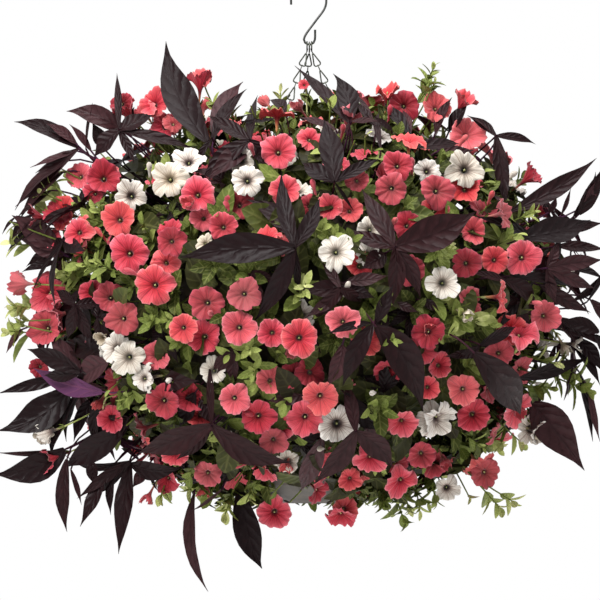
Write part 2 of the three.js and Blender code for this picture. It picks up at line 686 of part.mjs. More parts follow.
// Tries small shifts and the nearest bunches until a piece stands clear, and joins it there.
// The head has to clear its own bunch too, and the whole only the other bunches.
function addToBunch(hubs, place, axis, random, makePiece) {
  for (let tries = 0; tries < 30; tries += 1) {
    const shift = tries < 3 ? 0 : 2.5 * Math.sqrt(tries);
    const moved = place.clone();
    moved.add(vec((random() - 0.5) * shift, (random() - 0.5) * shift, (random() - 0.5) * shift));
    moved.addScaledVector(axis, (random() - 0.6) * 4 * shift);
    const tilted = turned(axis, (random() - 0.5) * 2 * shift, (random() - 0.5) * 2 * shift);
    const leaning = tilted.lerp(outwardAt(moved), tries / 40).normalize();
    const hub = nearestHubs(hubs, moved)[tries % 3];
    const back = hub.place.clone().sub(moved).normalize();
    if (back.dot(leaning) > -0.25) continue;
    const piece = makePiece(moved, leaning, hub.place);
    if (!isClear(piece.head(), null) || !isClear(piece.whole(0.5), hub.name)) continue;
    hub.parts.push(piece.whole(0));
    hub.cuts.push(piece.whole(GAP));
    stand(piece.whole(0.5), hub.name);
    return true;
  }
  return false;
}

function bloomPiece(radius) {
  return (face, axis, root) => ({
    head: () => bloom(face, axis, radius, along(face, axis, -0.9 * radius), 0.5),
    whole: (grow) => bloom(face, axis, radius, root, grow),
  });
}

// A leaf keeps its lobes' places round its middle, so it only shifts as a whole
function leafPiece(centre, tips, halfWidth) {
  return (place, normal, root) => {
    const moved = tips.map((tip) => tip.clone().sub(centre).add(place));
    const leaf = (foot, grow) => palmate(place, normal, moved, halfWidth, foot, grow);
    return { head: () => leaf(along(place, normal, -8), 0.5), whole: (grow) => leaf(root, grow) };
  };
}

function addFrontBlooms(rows, hubs, random) {
  rows.forEach(([column, row, across, turn = 0, lift = 0, deep = 0]) => {
    const place = fromView([column, row]);
    place.y = shellDepth(place) + deep;
    const axis = outwardAt(place).lerp(FRONT, BLOOMS_TO_FRONT).normalize();
    const radius = (across * MM_PER_PX) / 2;
    addToBunch(hubs, place, turned(axis, turn, lift), random, bloomPiece(radius));
  });
}

// Blooms over the sides, top and back, wherever the front's own don't stand
function addRuledBlooms(count, hubs, radius, random) {
  spread(count * 2, -0.78, 0.97, 0.4).forEach(({ azimuth, elevation }) => {
    const direction = vec(
      Math.cos(azimuth) * Math.cos(elevation), Math.sin(azimuth) * Math.cos(elevation), Math.sin(elevation),
    );
    if (direction.y < -0.3 && direction.z < 0.85) return;
    const place = direction.multiply(BALL_HALF).add(BALL_CENTRE);
    const axis = outwardAt(place).addScaledVector(vec(random() - 0.5, random() - 0.5, random() - 0.4), 0.7);
    const size = radius * (0.85 + 0.3 * random());
    place.addScaledVector(axis.normalize(), -14 * random());
    addToBunch(hubs, place, axis, random, bloomPiece(size));
  });
}

function addFrontLeaves(hubs, random) {
  FRONT_LEAVES.forEach(({ at, out, tips }) => {
    const centre = fromView(at);
    centre.y = shellDepth(centre) - out;
    const normal = outwardAt(centre).lerp(FRONT, LEAVES_TO_FRONT).normalize();
    const ends = tips.map((tip) => {
      const end = fromView(tip);
      const across = end.clone().sub(centre);
      end.y = centre.y - (normal.x * across.x + normal.z * across.z) / normal.y;
      return end.addScaledVector(normal, -0.1 * across.length());
    });
    addToBunch(hubs, centre, normal, random, leafPiece(centre, ends, LOBE_HALF_WIDTH));
  });
}

function addRuledLeaves(count, hubs, random) {
  spread(count * 2, -0.6, 0.9, 1.3).forEach(({ azimuth, elevation }) => {
    const direction = vec(
      Math.cos(azimuth) * Math.cos(elevation), Math.sin(azimuth) * Math.cos(elevation), Math.sin(elevation),
    );
    if (direction.y < -0.35) return;
    const centre = direction.multiply(BALL_HALF).add(BALL_CENTRE);
    const normal = outwardAt(centre).addScaledVector(UP, 0.3).normalize();
    centre.addScaledVector(normal, 8);
    const side = vec().crossVectors(normal, UP).normalize();
    const down = vec().crossVectors(normal, side).normalize();
    const lobes = 4 + Math.floor(2.5 * random());
    const start = radians(90) - radians(24) * (lobes - 1) * 1.2;
    const ends = Array.from({ length: lobes }, (_, i) => {
      const turn = start + radians(24) * 2.4 * i;
      const reach = (62 + 48 * random()) * (0.75 + 0.35 * Math.cos(turn - radians(90)));
      const end = along(along(centre, side, reach * Math.cos(turn)), down, reach * Math.sin(turn));
      return end.addScaledVector(normal, -0.14 * reach);
    });
    addToBunch(hubs, centre, normal, random, leafPiece(centre, ends, LOBE_HALF_WIDTH));
  });
}

// Small leaves that stand out of one sector of the core, and sprigs that rise past the blooms
function addSmallLeaves(parts, name, from, to, random) {
  for (let i = 0; i < 3 * SMALL_LEAVES_PER_SECTOR && parts.length <= SMALL_LEAVES_PER_SECTOR; i += 1) {
    const azimuth = from + (to - from) * (0.1 + 0.8 * random());
    const elevation = Math.asin(-0.72 + 1.66 * random());
    const normal = coreNormal(azimuth, elevation);
    const base = along(onCore(azimuth, elevation), normal, -10);
    const lean = vec(random() - 0.5, random() - 0.5, random() - 0.2);
    const direction = normal.clone().addScaledVector(lean, 1.1).normalize();
    const leaf = smallLeaf(base, direction, normal, 52 + 30 * random(), 17 + 9 * random());
    if (!isClear(leaf, null)) continue;
    parts.push(leaf);
    stand(leaf, name);
  }
}

function sprig(base, direction, length) {
  const tip = along(base, direction, length);
  const stem = bar([base, tip], [2.4, 1], 3);
  const side = vec().crossVectors(direction, UP).normalize();
  const leaves = [0.66, 0.82, 0.96].map((part, i) => {
    const spray = side.clone().applyAxisAngle(direction, i * 2.2);
    const heading = direction.clone().addScaledVector(spray, 1.1).normalize();
    return smallLeaf(along(base, direction, part * length), heading, direction, 34 - 4 * i, 12 - i);
  });
  return union([stem, ...leaves]);
}

function addSprigs(parts, name, from, to, random) {
  let placed = 0;
  for (let tries = 0; tries < 60 && placed < SPRIGS_PER_SECTOR; tries += 1) {
    const azimuth = from + (to - from) * (0.15 + 0.7 * random());
    const elevation = radians(20 + 50 * random());
    const normal = coreNormal(azimuth, elevation);
    const direction = normal.clone().addScaledVector(UP, 0.35).normalize();
    const shoot = sprig(along(onCore(azimuth, elevation), normal, -10), direction, 130 + 25 * random());
    if (!isClear(shoot, null)) continue;
    parts.push(shoot);
    stand(shoot, name);
    placed += 1;
  }
}

// The basket
const HOOK_SHIFTS = [3, 0, -3];
const group = new THREE.Group();
const random = randomFrom(1778);

const wires = { s_hook: hook() };
Object.entries(CHAIN_ANGLES).forEach(([name, degrees], i) => {
  wires[name] = chain(degrees, HOOK_SHIFTS[i]);
});
Object.entries(wires).forEach(([name, solid]) => {
  stand(solid, name);
  group.add(meshOf(name, solid, WIRE, 0.45, 0.7));
});
const bowl = pot();
stand(bowl, "hanging_pot");
group.add(meshOf("hanging_pot", bowl, POT_PLASTIC, 0.5));
group.add(meshOf("soil", soil(), POTTING_MIX, 0.95));

const coralHubs = makeHubs("coral_blooms", CORAL_BUNCHES, 0.1);
const whiteHubs = makeHubs("white_blooms", WHITE_BUNCHES, 1.2);
const vineHubs = makeHubs("vine", VINES, 2.1);
[coralHubs, whiteHubs, vineHubs].forEach((hubs) => settleHubs(hubs, random));
addFrontBlooms(FRONT_WHITE, whiteHubs, random);
addFrontBlooms(FRONT_CORAL, coralHubs, random);
addFrontLeaves(vineHubs, random);
addRuledLeaves(RULED_LEAVES, vineHubs, random);
addRuledBlooms(RULED_WHITE, whiteHubs, 26, random);
addRuledBlooms(RULED_CORAL, coralHubs, 24, random);

const bunches = [...coralHubs, ...whiteHubs, ...vineHubs].filter((hub) => hub.parts.length > 1);
bunches.forEach((hub) => {
  const color = hub.name.startsWith("coral") ? CORAL : hub.name.startsWith("white") ? WHITE : DARK_LEAF;
  group.add(meshOf(hub.name, largestBody(union(hub.parts)), color, 0.6));
});

const cuts = bunches.flatMap((hub) => hub.cuts);
for (let i = 0; i < SECTORS; i += 1) {
  const name = "leafy_shoots_" + (i + 1);
  const from = radians(CHAIN_ANGLES.chain_right + (360 / SECTORS) * i);
  const to = from + radians(360 / SECTORS);
  const parts = [coreSector(from, to)];
  addSmallLeaves(parts, name, from, to, random);
  addSprigs(parts, name, from, to, random);
  const wallFor = (turn, k) => partingWall(turn, k % 3 === 0 ? 15 : 1);
  const walls = [wallFor(from, i), wallFor(to, i + 1)];
  const solid = union(parts).subtract(union(walls)).subtract(union(cuts));
  group.add(meshOf(name, largestBody(solid), GREEN_LEAF, 0.7));
}

export default group;
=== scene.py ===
"""Petunia hanging basket: petals, leaves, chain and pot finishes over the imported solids."""
import math

import bpy
import numpy as np
from bpy.props import FloatProperty, IntProperty, PointerProperty
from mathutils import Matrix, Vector
from numpy.linalg import norm

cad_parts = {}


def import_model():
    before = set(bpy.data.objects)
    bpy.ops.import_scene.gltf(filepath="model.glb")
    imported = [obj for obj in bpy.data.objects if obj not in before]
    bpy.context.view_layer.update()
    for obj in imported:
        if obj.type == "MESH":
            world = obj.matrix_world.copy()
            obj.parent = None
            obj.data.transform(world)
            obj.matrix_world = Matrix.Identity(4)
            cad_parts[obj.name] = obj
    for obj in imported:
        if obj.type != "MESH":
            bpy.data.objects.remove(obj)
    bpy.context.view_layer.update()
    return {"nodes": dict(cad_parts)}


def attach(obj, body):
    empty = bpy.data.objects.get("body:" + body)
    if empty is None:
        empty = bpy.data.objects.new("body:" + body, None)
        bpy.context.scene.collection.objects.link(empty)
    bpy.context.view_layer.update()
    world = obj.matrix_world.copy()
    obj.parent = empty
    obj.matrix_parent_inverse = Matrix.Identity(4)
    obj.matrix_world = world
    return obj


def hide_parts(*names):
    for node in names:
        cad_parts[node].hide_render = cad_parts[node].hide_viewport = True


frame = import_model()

bl_info = {
    "name": "Petunia hanging basket",
    "version": (1, 0, 0),
    "blender": (4, 5, 0),
    "location": "View3D > Sidebar > Basket",
    "description": "Builds a ball of petunias in a hanging pot on three chains",
    "category": "Object",
}

NODES = frame["nodes"]

# The front view's scale: one pixel of a 600 pixel wide picture, and where the seat of the
# hook's loop lies in it.
METRES_PER_PIXEL = 0.0013
AXIS_COLUMN = 308.5
TOP_ROW = -18.0

# The ball of flowers and the leafy heart inside it, as half sizes about one middle.
BALL_MIDDLE = np.array([0.0, 0.0, -0.413])
BALL_HALF = np.array([0.345, 0.330, 0.278])
HEART_SIDE = 0.262
HEART_UP = 0.168
HEART_DOWN = 0.226
# How far out the leafy layer begins at the front, as a share of the ball.
FRONT_INSIDE = 0.76
GOLDEN_TURN = math.pi * (3 - math.sqrt(5))

# The camera looks at the middle of the picture; its sensor is in millimetres, and the front of
# the flowers stands so far before the hanging point, in metres.
PICTURE_MIDDLE = 300
SENSOR = 36
FRONT_OUT = 0.2

# How near to another bloom a filling one may stand, in metres, and how many young shoots
# stand out of the ball all round.
FILLING_GAP = 0.040
OUTER_SHOOTS = 70

# Blooms that peek out between the ones that the solids hold: column, row, width in
# pixels and how far out in the leafy layer the face lies.
SPARE_CORAL = [
    (165, 125, 30, 0.8), (78, 175, 30, 0.8), (165, 262, 32, 0.72), (240, 205, 32, 0.7),
    (282, 245, 24, 0.74), (110, 297, 32, 0.75), (50, 238, 22, 0.82), (90, 292, 28, 0.72),
    (155, 355, 32, 0.74), (190, 397, 32, 0.74), (200, 415, 30, 0.72), (165, 480, 30, 0.82),
    (281, 427, 30, 0.76), (270, 380, 30, 0.72), (293, 375, 28, 0.7), (38, 368, 22, 0.84),
    (422, 350, 32, 0.72), (440, 365, 28, 0.7), (310, 372, 30, 0.7), (435, 465, 30, 0.8),
    (332, 460, 28, 0.76), (465, 188, 30, 0.74), (435, 210, 30, 0.72), (407, 225, 30, 0.72),
    (410, 270, 32, 0.72), (360, 265, 30, 0.7), (330, 207, 28, 0.72), (310, 205, 26, 0.7),
    (350, 210, 28, 0.7), (310, 138, 28, 0.76), (304, 83, 13, 0.84), (203, 218, 28, 0.72),
    (495, 260, 30, 0.74), (60, 212, 36, 1.0), (46, 292, 42, 1.0), (44, 328, 38, 1.0),
    (487, 474, 36, 1.08), (143, 110, 30, 1.0), (202, 75, 22, 1.0), (173, 121, 26, 1.0),
    (121, 102, 24, 1.0), (345, 512, 30, 0.9), (512, 330, 34, 0.85), (103, 177, 36, 1.08),
    (78, 232, 30, 1.05), (94, 192, 24, 1.0), (58, 211, 36, 1.08),
]
SPARE_WHITE = [
    (240, 160, 30, 0.76), (428, 170, 30, 0.76), (370, 230, 30, 0.72), (368, 255, 28, 0.7),
    (112, 350, 30, 0.74), (205, 243, 22, 0.74), (533, 430, 32, 1.0), (143, 378, 26, 0.95),
    (434, 420, 38, 0.95), (116, 348, 34, 0.9), (287, 462, 26, 0.95), (42, 434, 27, 1.0),
]
# Dark blades between the leaves that the solids hold: base, tip and width in pixels, and
# how far out in the leafy layer they lie.
DARK_BLADES = [
    (75, 143, 45, 122, 12, 0.9), (90, 150, 70, 122, 8, 0.9), (85, 148, 90, 102, 6, 0.9),
    (127, 128, 133, 106, 14, 0.9), (50, 190, 15, 216, 10, 0.9), (15, 216, 0, 233, 5, 0.9),
    (62, 255, 20, 236, 15, 0.9), (58, 250, 12, 213, 25, 0.95), (55, 262, 20, 269, 10, 0.9),
    (78, 292, 52, 338, 20, 0.85), (80, 300, 90, 350, 16, 0.85), (65, 288, 78, 325, 14, 0.8),
    (245, 145, 262, 165, 14, 0.8), (297, 240, 250, 195, 22, 0.85), (275, 118, 240, 122, 6, 0.8),
    (285, 112, 268, 95, 14, 0.8), (250, 142, 205, 174, 22, 0.9), (82, 372, 45, 332, 20, 0.95),
    (115, 345, 58, 347, 26, 0.8), (108, 362, 77, 384, 27, 0.98), (125, 428, 57, 468, 26, 0.95),
    (105, 474, 80, 528, 16, 0.92), (112, 470, 110, 516, 10, 0.85), (130, 462, 78, 502, 12, 0.95),
    (90, 460, 92, 486, 13, 0.85), (70, 470, 80, 506, 7, 0.85), (145, 470, 132, 488, 12, 0.9),
    (152, 474, 155, 492, 7, 0.9), (98, 400, 94, 452, 13, 0.98), (128, 418, 90, 445, 26, 0.85),
    (195, 393, 180, 428, 18, 0.8), (213, 425, 164, 446, 18, 0.92), (152, 378, 196, 384, 22, 0.8),
    (305, 395, 268, 402, 16, 0.8), (175, 475, 205, 480, 9, 0.85), (130, 465, 178, 472, 20, 0.9),
    (200, 400, 215, 425, 16, 0.8), (240, 470, 212, 480, 14, 0.75), (375, 126, 358, 97, 8, 0.9),
    (352, 121, 378, 119, 9, 0.9), (336, 130, 298, 117, 12, 0.8), (410, 135, 382, 96, 14, 0.92),
    (411, 132, 403, 105, 9, 0.9), (381, 150, 379, 104, 7, 0.85), (392, 130, 374, 115, 9, 0.85),
    (436, 132, 453, 96, 11, 0.85), (450, 130, 468, 101, 15, 0.85), (497, 135, 474, 116, 10, 0.9),
    (414, 147, 462, 137, 15, 0.9), (440, 150, 475, 152, 14, 0.75), (575, 216, 601, 174, 14, 0.85),
    (562, 215, 571, 187, 5, 0.85), (550, 212, 559, 197, 8, 0.85), (578, 216, 587, 188, 4, 0.85),
    (522, 238, 594, 221, 30, 0.95), (558, 246, 607, 250, 13, 0.85), (535, 240, 482, 216, 15, 0.85),
    (385, 255, 362, 268, 20, 0.75), (346, 285, 298, 290, 18, 0.85), (346, 282, 388, 278, 14, 0.85),
    (346, 286, 304, 316, 14, 0.85), (346, 290, 374, 298, 13, 0.8), (350, 345, 327, 391, 14, 0.88),
    (394, 303, 418, 313, 9, 0.8), (385, 335, 380, 298, 14, 0.75), (345, 394, 386, 432, 21, 0.92),
    (365, 418, 399, 470, 17, 0.88), (322, 438, 303, 496, 22, 0.9), (470, 350, 447, 356, 9, 0.85),
    (518, 379, 593, 356, 16, 0.9), (590, 388, 602, 442, 9, 0.85), (505, 280, 472, 273, 9, 0.85),
    (505, 280, 541, 307, 19, 0.85), (510, 276, 602, 281, 13, 0.85), (520, 285, 500, 332, 12, 0.75),
    (516, 282, 538, 322, 16, 0.8), (540, 285, 592, 312, 15, 0.85), (600, 332, 563, 321, 16, 0.85),
    (560, 318, 606, 346, 14, 0.85), (570, 292, 586, 254, 8, 0.8), (575, 300, 606, 274, 10, 0.85),
    (588, 302, 608, 262, 7, 0.8), (550, 250, 530, 285, 16, 0.7), (560, 240, 545, 300, 18, 0.7),
    (420, 300, 440, 312, 10, 0.75), (74, 398, 44, 456, 20, 0.98), (580, 372, 594, 442, 15, 0.9),
    (105, 150, 90, 122, 15, 0.8), (578, 338, 604, 372, 16, 0.8), (560, 322, 590, 352, 16, 0.75),
    (80, 392, 60, 440, 19, 0.9), (92, 398, 72, 442, 16, 0.85), (30, 215, 10, 240, 12, 0.9),
    (20, 330, 4, 352, 10, 0.85), (585, 205, 600, 178, 12, 0.85), (592, 300, 612, 330, 14, 0.8),
    (596, 335, 612, 360, 14, 0.8), (300, 330, 322, 352, 14, 0.72), (240, 345, 215, 372, 14, 0.72),
    (320, 395, 300, 420, 16, 0.72),
]
# Blades that bend: base, knee, tip and width in pixels, and how far out they lie.
BENT_BLADES = [
    (194, 495, 184, 548, 205, 594, 17, 0.8), (239, 490, 246, 543, 262, 570, 27, 0.8),
    (129, 462, 124, 510, 117, 555, 20, 0.9), (66, 460, 59, 500, 66, 533, 16, 0.9),
    (64, 450, 35, 476, -8, 475, 29, 0.92), (207, 141, 171, 100, 164, 40, 33, 0.9),
    (124, 132, 95, 111, 66, 108, 22, 0.95), (77, 147, 46, 124, 13, 121, 20, 0.9),
    (512, 211, 560, 192, 598, 157, 19, 0.95), (474, 353, 503, 380, 533, 425, 34, 1.35),
    (348, 122, 322, 95, 298, 62, 16, 0.85), (349, 121, 352, 98, 336, 71, 23, 0.85),
    (250, 143, 250, 118, 257, 92, 10, 0.85), (357, 95, 366, 108, 376, 125, 7, 0.85),
    (580, 214, 590, 195, 606, 166, 18, 0.85), (373, 325, 352, 350, 343, 388, 20, 1.05),
    (376, 327, 410, 352, 424, 412, 34, 1.05), (370, 323, 350, 325, 327, 333, 9, 1.05),
    (376, 322, 385, 305, 392, 285, 14, 1.0), (342, 345, 343, 366, 325, 387, 18, 0.95),
    (75, 150, 55, 158, 29, 167, 11, 0.9), (62, 172, 40, 188, 14, 218, 14, 0.9),
    (214, 136, 222, 100, 243, 81, 22, 0.95), (533, 404, 552, 424, 586, 471, 38, 0.95),
    (68, 388, 45, 424, -4, 431, 34, 0.95), (62, 379, 30, 384, -4, 394, 13, 0.95),
    (68, 160, 40, 178, 9, 204, 18, 0.9), (58, 452, 30, 452, -6, 457, 7, 0.9),
    (560, 230, 585, 226, 604, 222, 12, 0.85), (572, 268, 588, 270, 606, 277, 10, 0.85),
    (576, 348, 590, 362, 602, 386, 13, 0.85), (35, 228, 20, 236, 6, 250, 10, 0.9),
]
# One blade shows its purple underside.
PURPLE_BLADE = (102, 392, 29, 368, 22, 1.1)
# Lobes of the front leaves: where each ends, and its width in pixels. Those with no width
# are among the blades above.
LOBE_WIDTHS = np.array([
    (278, 172, 17), (322, 195, 17), (298, 300, 8), (258, 322, 20), (180, 257, 31), (300, 155, 18),
    (318, 112, 24), (380, 153, 13), (352, 208, 4), (363, 185, 19), (480, 215, 36), (425, 295, 17),
    (395, 303, 18), (350, 228, 15), (325, 330, 12), (380, 285, 14), (420, 412, 31), (342, 387, 19),
    (208, 365, 8), (290, 475, 26), (177, 467, 15), (133, 460, 27), (67, 108, 0), (118, 70, 8),
    (157, 117, 20), (200, 147, 13), (140, 165, 10), (95, 158, 22), (207, 108, 15), (256, 92, 0),
    (275, 163, 13), (200, 175, 20), (164, 40, 0), (242, 80, 15), (190, 168, 8), (14, 121, 0),
    (62, 105, 0), (30, 167, 10), (8, 203, 13), (-8, 215, 8), (62, 225, 12), (40, 290, 12),
    (14, 262, 12), (50, 290, 12), (98, 300, 12), (88, 345, 13), (60, 340, 14), (20, 350, 20),
    (108, 360, 20), (80, 402, 10), (36, 378, 14), (57, 468, 9), (117, 555, 0), (65, 533, 0),
    (78, 505, 9), (190, 520, 4), (262, 570, 0), (205, 592, 0), (525, 330, 14), (530, 422, 0),
    (460, 362, 12), (530, 235, 14), (530, 190, 12), (598, 160, 0), (612, 182, 14), (590, 240, 24),
    (565, 240, 12), (612, 262, 16), (604, 288, 14), (560, 305, 14), (507, 205, 17), (470, 112, 10),
    (540, 137, 10), (300, 65, 0), (335, 70, 0), (378, 115, 8), (338, 150, 6), (322, 262, 10),
    (362, 303, 12), (310, 318, 14), (345, 385, 14), (392, 472, 24), (312, 490, 22),
])
# Gaps in the ball's outline that nothing laid by rule reaches into: column, row and radius
# in pixels.
CLEAR_SPOTS = np.array([
    (365, 110, 22), (505, 466, 24), (262, 100, 16), (225, 75, 16), (20, 285, 10), (25, 370, 12),
    (310, 95, 16), (558, 152, 14), (345, 60, 30), (190, 560, 40), (420, 560, 30), (60, 90, 24),
    (570, 345, 6), (150, 540, 30), (560, 500, 30), (395, 60, 24), (20, 180, 14),
])
# Where withered blooms show, and the tips of the shoots that trail past the ball's outline
# and of the young yellow-green ones before the blooms: column and row.
WITHERED = [(148, 497), (565, 347), (538, 432), (287, 465), (465, 315)]
TRAILING_SHOOTS = [
    (405, 520), (420, 508), (386, 502), (402, 498), (437, 500), (500, 505), (515, 500), (470, 495),
    (225, 512), (246, 500), (232, 490), (205, 492), (188, 488), (575, 372), (590, 388), (552, 385),
    (522, 440), (498, 445), (60, 270), (75, 262), (12, 305), (20, 322), (8, 218), (125, 395),
    (105, 395), (462, 312), (478, 318), (455, 332), (492, 322), (470, 300), (345, 130), (335, 132),
    (365, 135), (430, 82), (180, 110), (160, 495), (213, 100), (50, 180), (62, 172), (42, 190),
    (34, 202), (22, 318), (8, 328), (10, 240), (60, 165), (72, 192), (95, 206), (42, 226),
    (88, 215), (70, 250), (66, 200), (245, 488), (255, 496), (235, 478),
]
YOUNG_SHOOTS = [
    (435, 65), (435, 82), (515, 145), (515, 170), (60, 165), (45, 190), (5, 215), (10, 305),
    (85, 265), (150, 320), (250, 350), (110, 390), (225, 505), (190, 490), (410, 510), (385, 505),
    (500, 500), (430, 505), (575, 375), (450, 245), (335, 235), (355, 140), (280, 115),
]

# A lobe of the solids is one of the table's if it ends within so many pixels of it.
LOBE_FOUND = 22
# Blooms at the ball's rim, by their place in the picture, are trumpets seen from the side.
RIM_ROW, RIM_ASIDE, CORNER_ROW, CORNER_ASIDE = 112, 262, 185, 215
# The share of blooms that have wilted, and how far.
WILTED_SHARE, WILT = 0.06, 0.35
# Stalks: how far a bloom's runs straight back, and the radii of a bloom's and of a leaf's.
STALK_BACK, BLOOM_STALK, LEAF_STALK = 0.018, 0.0011, 0.0012
# A shoot's radii at root and tip, how long its leafy end is, and how often a clear way for it
# between the blooms is tried.
SHOOT_RADII, LEAFY_END, TRIES = (0.0017, 0.0009), 0.036, 5

# A green leaf's size beside a full one, by what kind of shoot carries it.
FULL, YOUNG, TRAILING = 1.0, 0.72, 0.95

# The bloom and lobed leaf faces laid so far, as middle, axis and radius, and the pot's foot.
# Green leaves keep clear of them.
FACES = []
POT_FOOT = (np.array([-0.005, -0.165, -0.662]), np.array([0.0, -1.0, 0.0]), 0.05)


def unit(vector):
    """The vector, or each row of vectors, at length one."""
    vector = np.asarray(vector, float)
    return vector / np.maximum(norm(vector, axis=-1, keepdims=True), 1e-12)


def smooth(low, high, value):
    """Nought below low, one above high, and an even bend between them."""
    t = np.clip((np.asarray(value, float) - low) / (high - low), 0, 1)
    return t * t * (3 - 2 * t)


def crosswise(direction, near=(0.0, 0.0, 1.0)):
    """A unit vector square to the direction, as close to near as it can be."""
    direction = unit(direction)
    side = np.asarray(near, float) - direction * np.dot(near, direction)
    if norm(side) < 1e-3:
        side = np.cross(direction, (0.3, 0.9, 0.1))
    return unit(side)


def bend(start, knee, end, steps):
    """Points along a curve that leaves its start towards the knee."""
    t = np.asarray(steps)[:, None]
    return (1 - t) ** 2 * start + 2 * t * (1 - t) * knee + t ** 2 * end


def spread(count, high, tall, start=0.0):
    """Numbered directions laid evenly all round, a golden turn apart, downwards from high."""
    for k in range(count):
        z = high - tall * (k + 0.5) / count
        a = k * GOLDEN_TURN + start
        flat = math.sqrt(1 - z * z)
        yield k, np.array([math.cos(a) * flat, math.sin(a) * flat, z])


def shell(direction, share):
    """A point in the leafy layer: share 0 on the heart, 1 on the ball's outside."""
    direction = unit(direction)
    tall = HEART_UP if direction[2] > 0 else HEART_DOWN
    inner = 1 / norm(direction / np.array([HEART_SIDE, HEART_SIDE, tall]))
    outer = 1 / norm(direction / BALL_HALF)
    return BALL_MIDDLE + direction * (inner + (outer - inner) * share)


def from_picture(column, row, share):
    """The point in the leafy layer's front that a picture place looks at."""
    x = (column - AXIS_COLUMN) * METRES_PER_PIXEL
    z = -(row - TOP_ROW) * METRES_PER_PIXEL
    half = BALL_HALF * (FRONT_INSIDE + (1 - FRONT_INSIDE) * share)
    inside = 1 - ((x - BALL_MIDDLE[0]) / half[0]) ** 2 - ((z - BALL_MIDDLE[2]) / half[2]) ** 2
    return np.array([x, -half[1] * math.sqrt(max(0.03, inside)), z])


def in_picture(point):
    """The picture's column and row where a point shows."""
    return np.array([point[0] / METRES_PER_PIXEL + AXIS_COLUMN,
                     -point[2] / METRES_PER_PIXEL + TOP_ROW])


def clear(point):
    """Whether a point shows in one of the gaps that stay clear."""
    off = norm(CLEAR_SPOTS[:, :2] - in_picture(point), axis=1)
    return bool((off < CLEAR_SPOTS[:, 2]).any())


def bare(point):
    """Whether a leaf here would hide the pot's foot, which shows between the blooms."""
    return abs(point[0] + 0.008) < 0.036 and -0.70 < point[2] < -0.654 and point[1] < 0.02


def hides(point, faces):
    """Whether a point lies before one of the faces or in its throat."""
    middles, axes, radii = faces
    offset = point - middles
    rise = np.einsum("ij,ij->i", offset, axes)
    beside = norm(offset - rise[:, None] * axes, axis=1)
    over = (rise > -0.004) & (beside < 0.92 * radii)
    throat = (rise > -0.9 * radii) & (beside < 0.4 * radii)
    return ((over | throat) & (rise < 0.06)).any()


def before(point, faces):
    """Whether a point stands before one of the front's faces, seen from the front."""
    middles, _, radii = faces
    x, y, z = (point - middles).T
    near = (y < 0.0) & (y > -0.08) & (middles[:, 1] < -0.05)
    return (near & (np.hypot(x, z) < 0.8 * radii)).any()


def outward(point):
    """The ball's outside direction at a point."""
    return unit((np.asarray(point) - BALL_MIDDLE) / BALL_HALF ** 2)


def nodes_named(*starts):
    """The solids whose names start so, in order."""
    return [name for name in sorted(NODES) if name.startswith(starts)]


def linear(hex_colour):
    """A colour written in sRGB hex, turned to the linear RGBA that shaders work in."""
    parts = [int(hex_colour[i:i + 2], 16) / 255 for i in (1, 3, 5)]
    return [c / 12.92 if c <= 0.04045 else ((c + 0.055) / 1.055) ** 2.4 for c in parts] + [1.0]


def add(tree, kind, inputs=(), out=0, stops=None, **settings):
    """Add a shader node and give one of its outputs.

    Inputs are values, hex colours or sockets to link, by place or name; stops are a ramp's.
    """
    made = tree.nodes.new("ShaderNode" + kind)
    for name, value in settings.items():
        setattr(made, name, value)
    for socket, value in inputs.items() if isinstance(inputs, dict) else enumerate(inputs):
        if isinstance(value, bpy.types.NodeSocket):
            tree.links.new(value, made.inputs[socket])
        else:
            made.inputs[socket].default_value = linear(value) if isinstance(value, str) else value
    if stops:
        elements = made.color_ramp.elements
        while len(elements) < len(stops):
            elements.new(1.0)
        for element, (place, colour) in zip(elements, stops):
            element.position = place
            element.color = linear(colour) if isinstance(colour, str) else [colour] * 3 + [1]
    return made.outputs[out]


def surface(name, **values):
    """A material, its node tree and its shader, with the shader's plain values set."""
    material = bpy.data.materials.new(name)
    material.use_nodes = True
    tree = material.node_tree
    shader = tree.nodes["Principled BSDF"]
    for socket, value in values.items():
        shader.inputs[socket.replace("_", " ")].default_value = value
    return material, tree, shader


def dress(tree, shader, colour, height=None, strength=0.0, depth=0.0, sunk=False):
    """Link the colour and, where there is a height, a bump that is so many metres deep."""
    tree.links.new(colour, shader.inputs["Base Color"])
    if height is not None:
        bump = add(tree, "Bump", {"Strength": strength, "Distance": depth, "Height": height},
                   invert=sunk)
        tree.links.new(bump, shader.inputs["Normal"])


def finish(name, texture, grain, stops, relief=None, coordinates="Object", **values):
    """A material coloured by one texture; relief is its own grain, strength and depth."""
    material, tree, shader = surface(name, **values)
    place = {"Vector": add(tree, "TexCoord", out=coordinates)}
    colour = add(tree, "ValToRGB", [add(tree, texture, place | grain)], stops=stops)
    raised = (add(tree, texture, place | relief[0]), *relief[1:]) if relief else ()
    dress(tree, shader, colour, *raised)
    return material


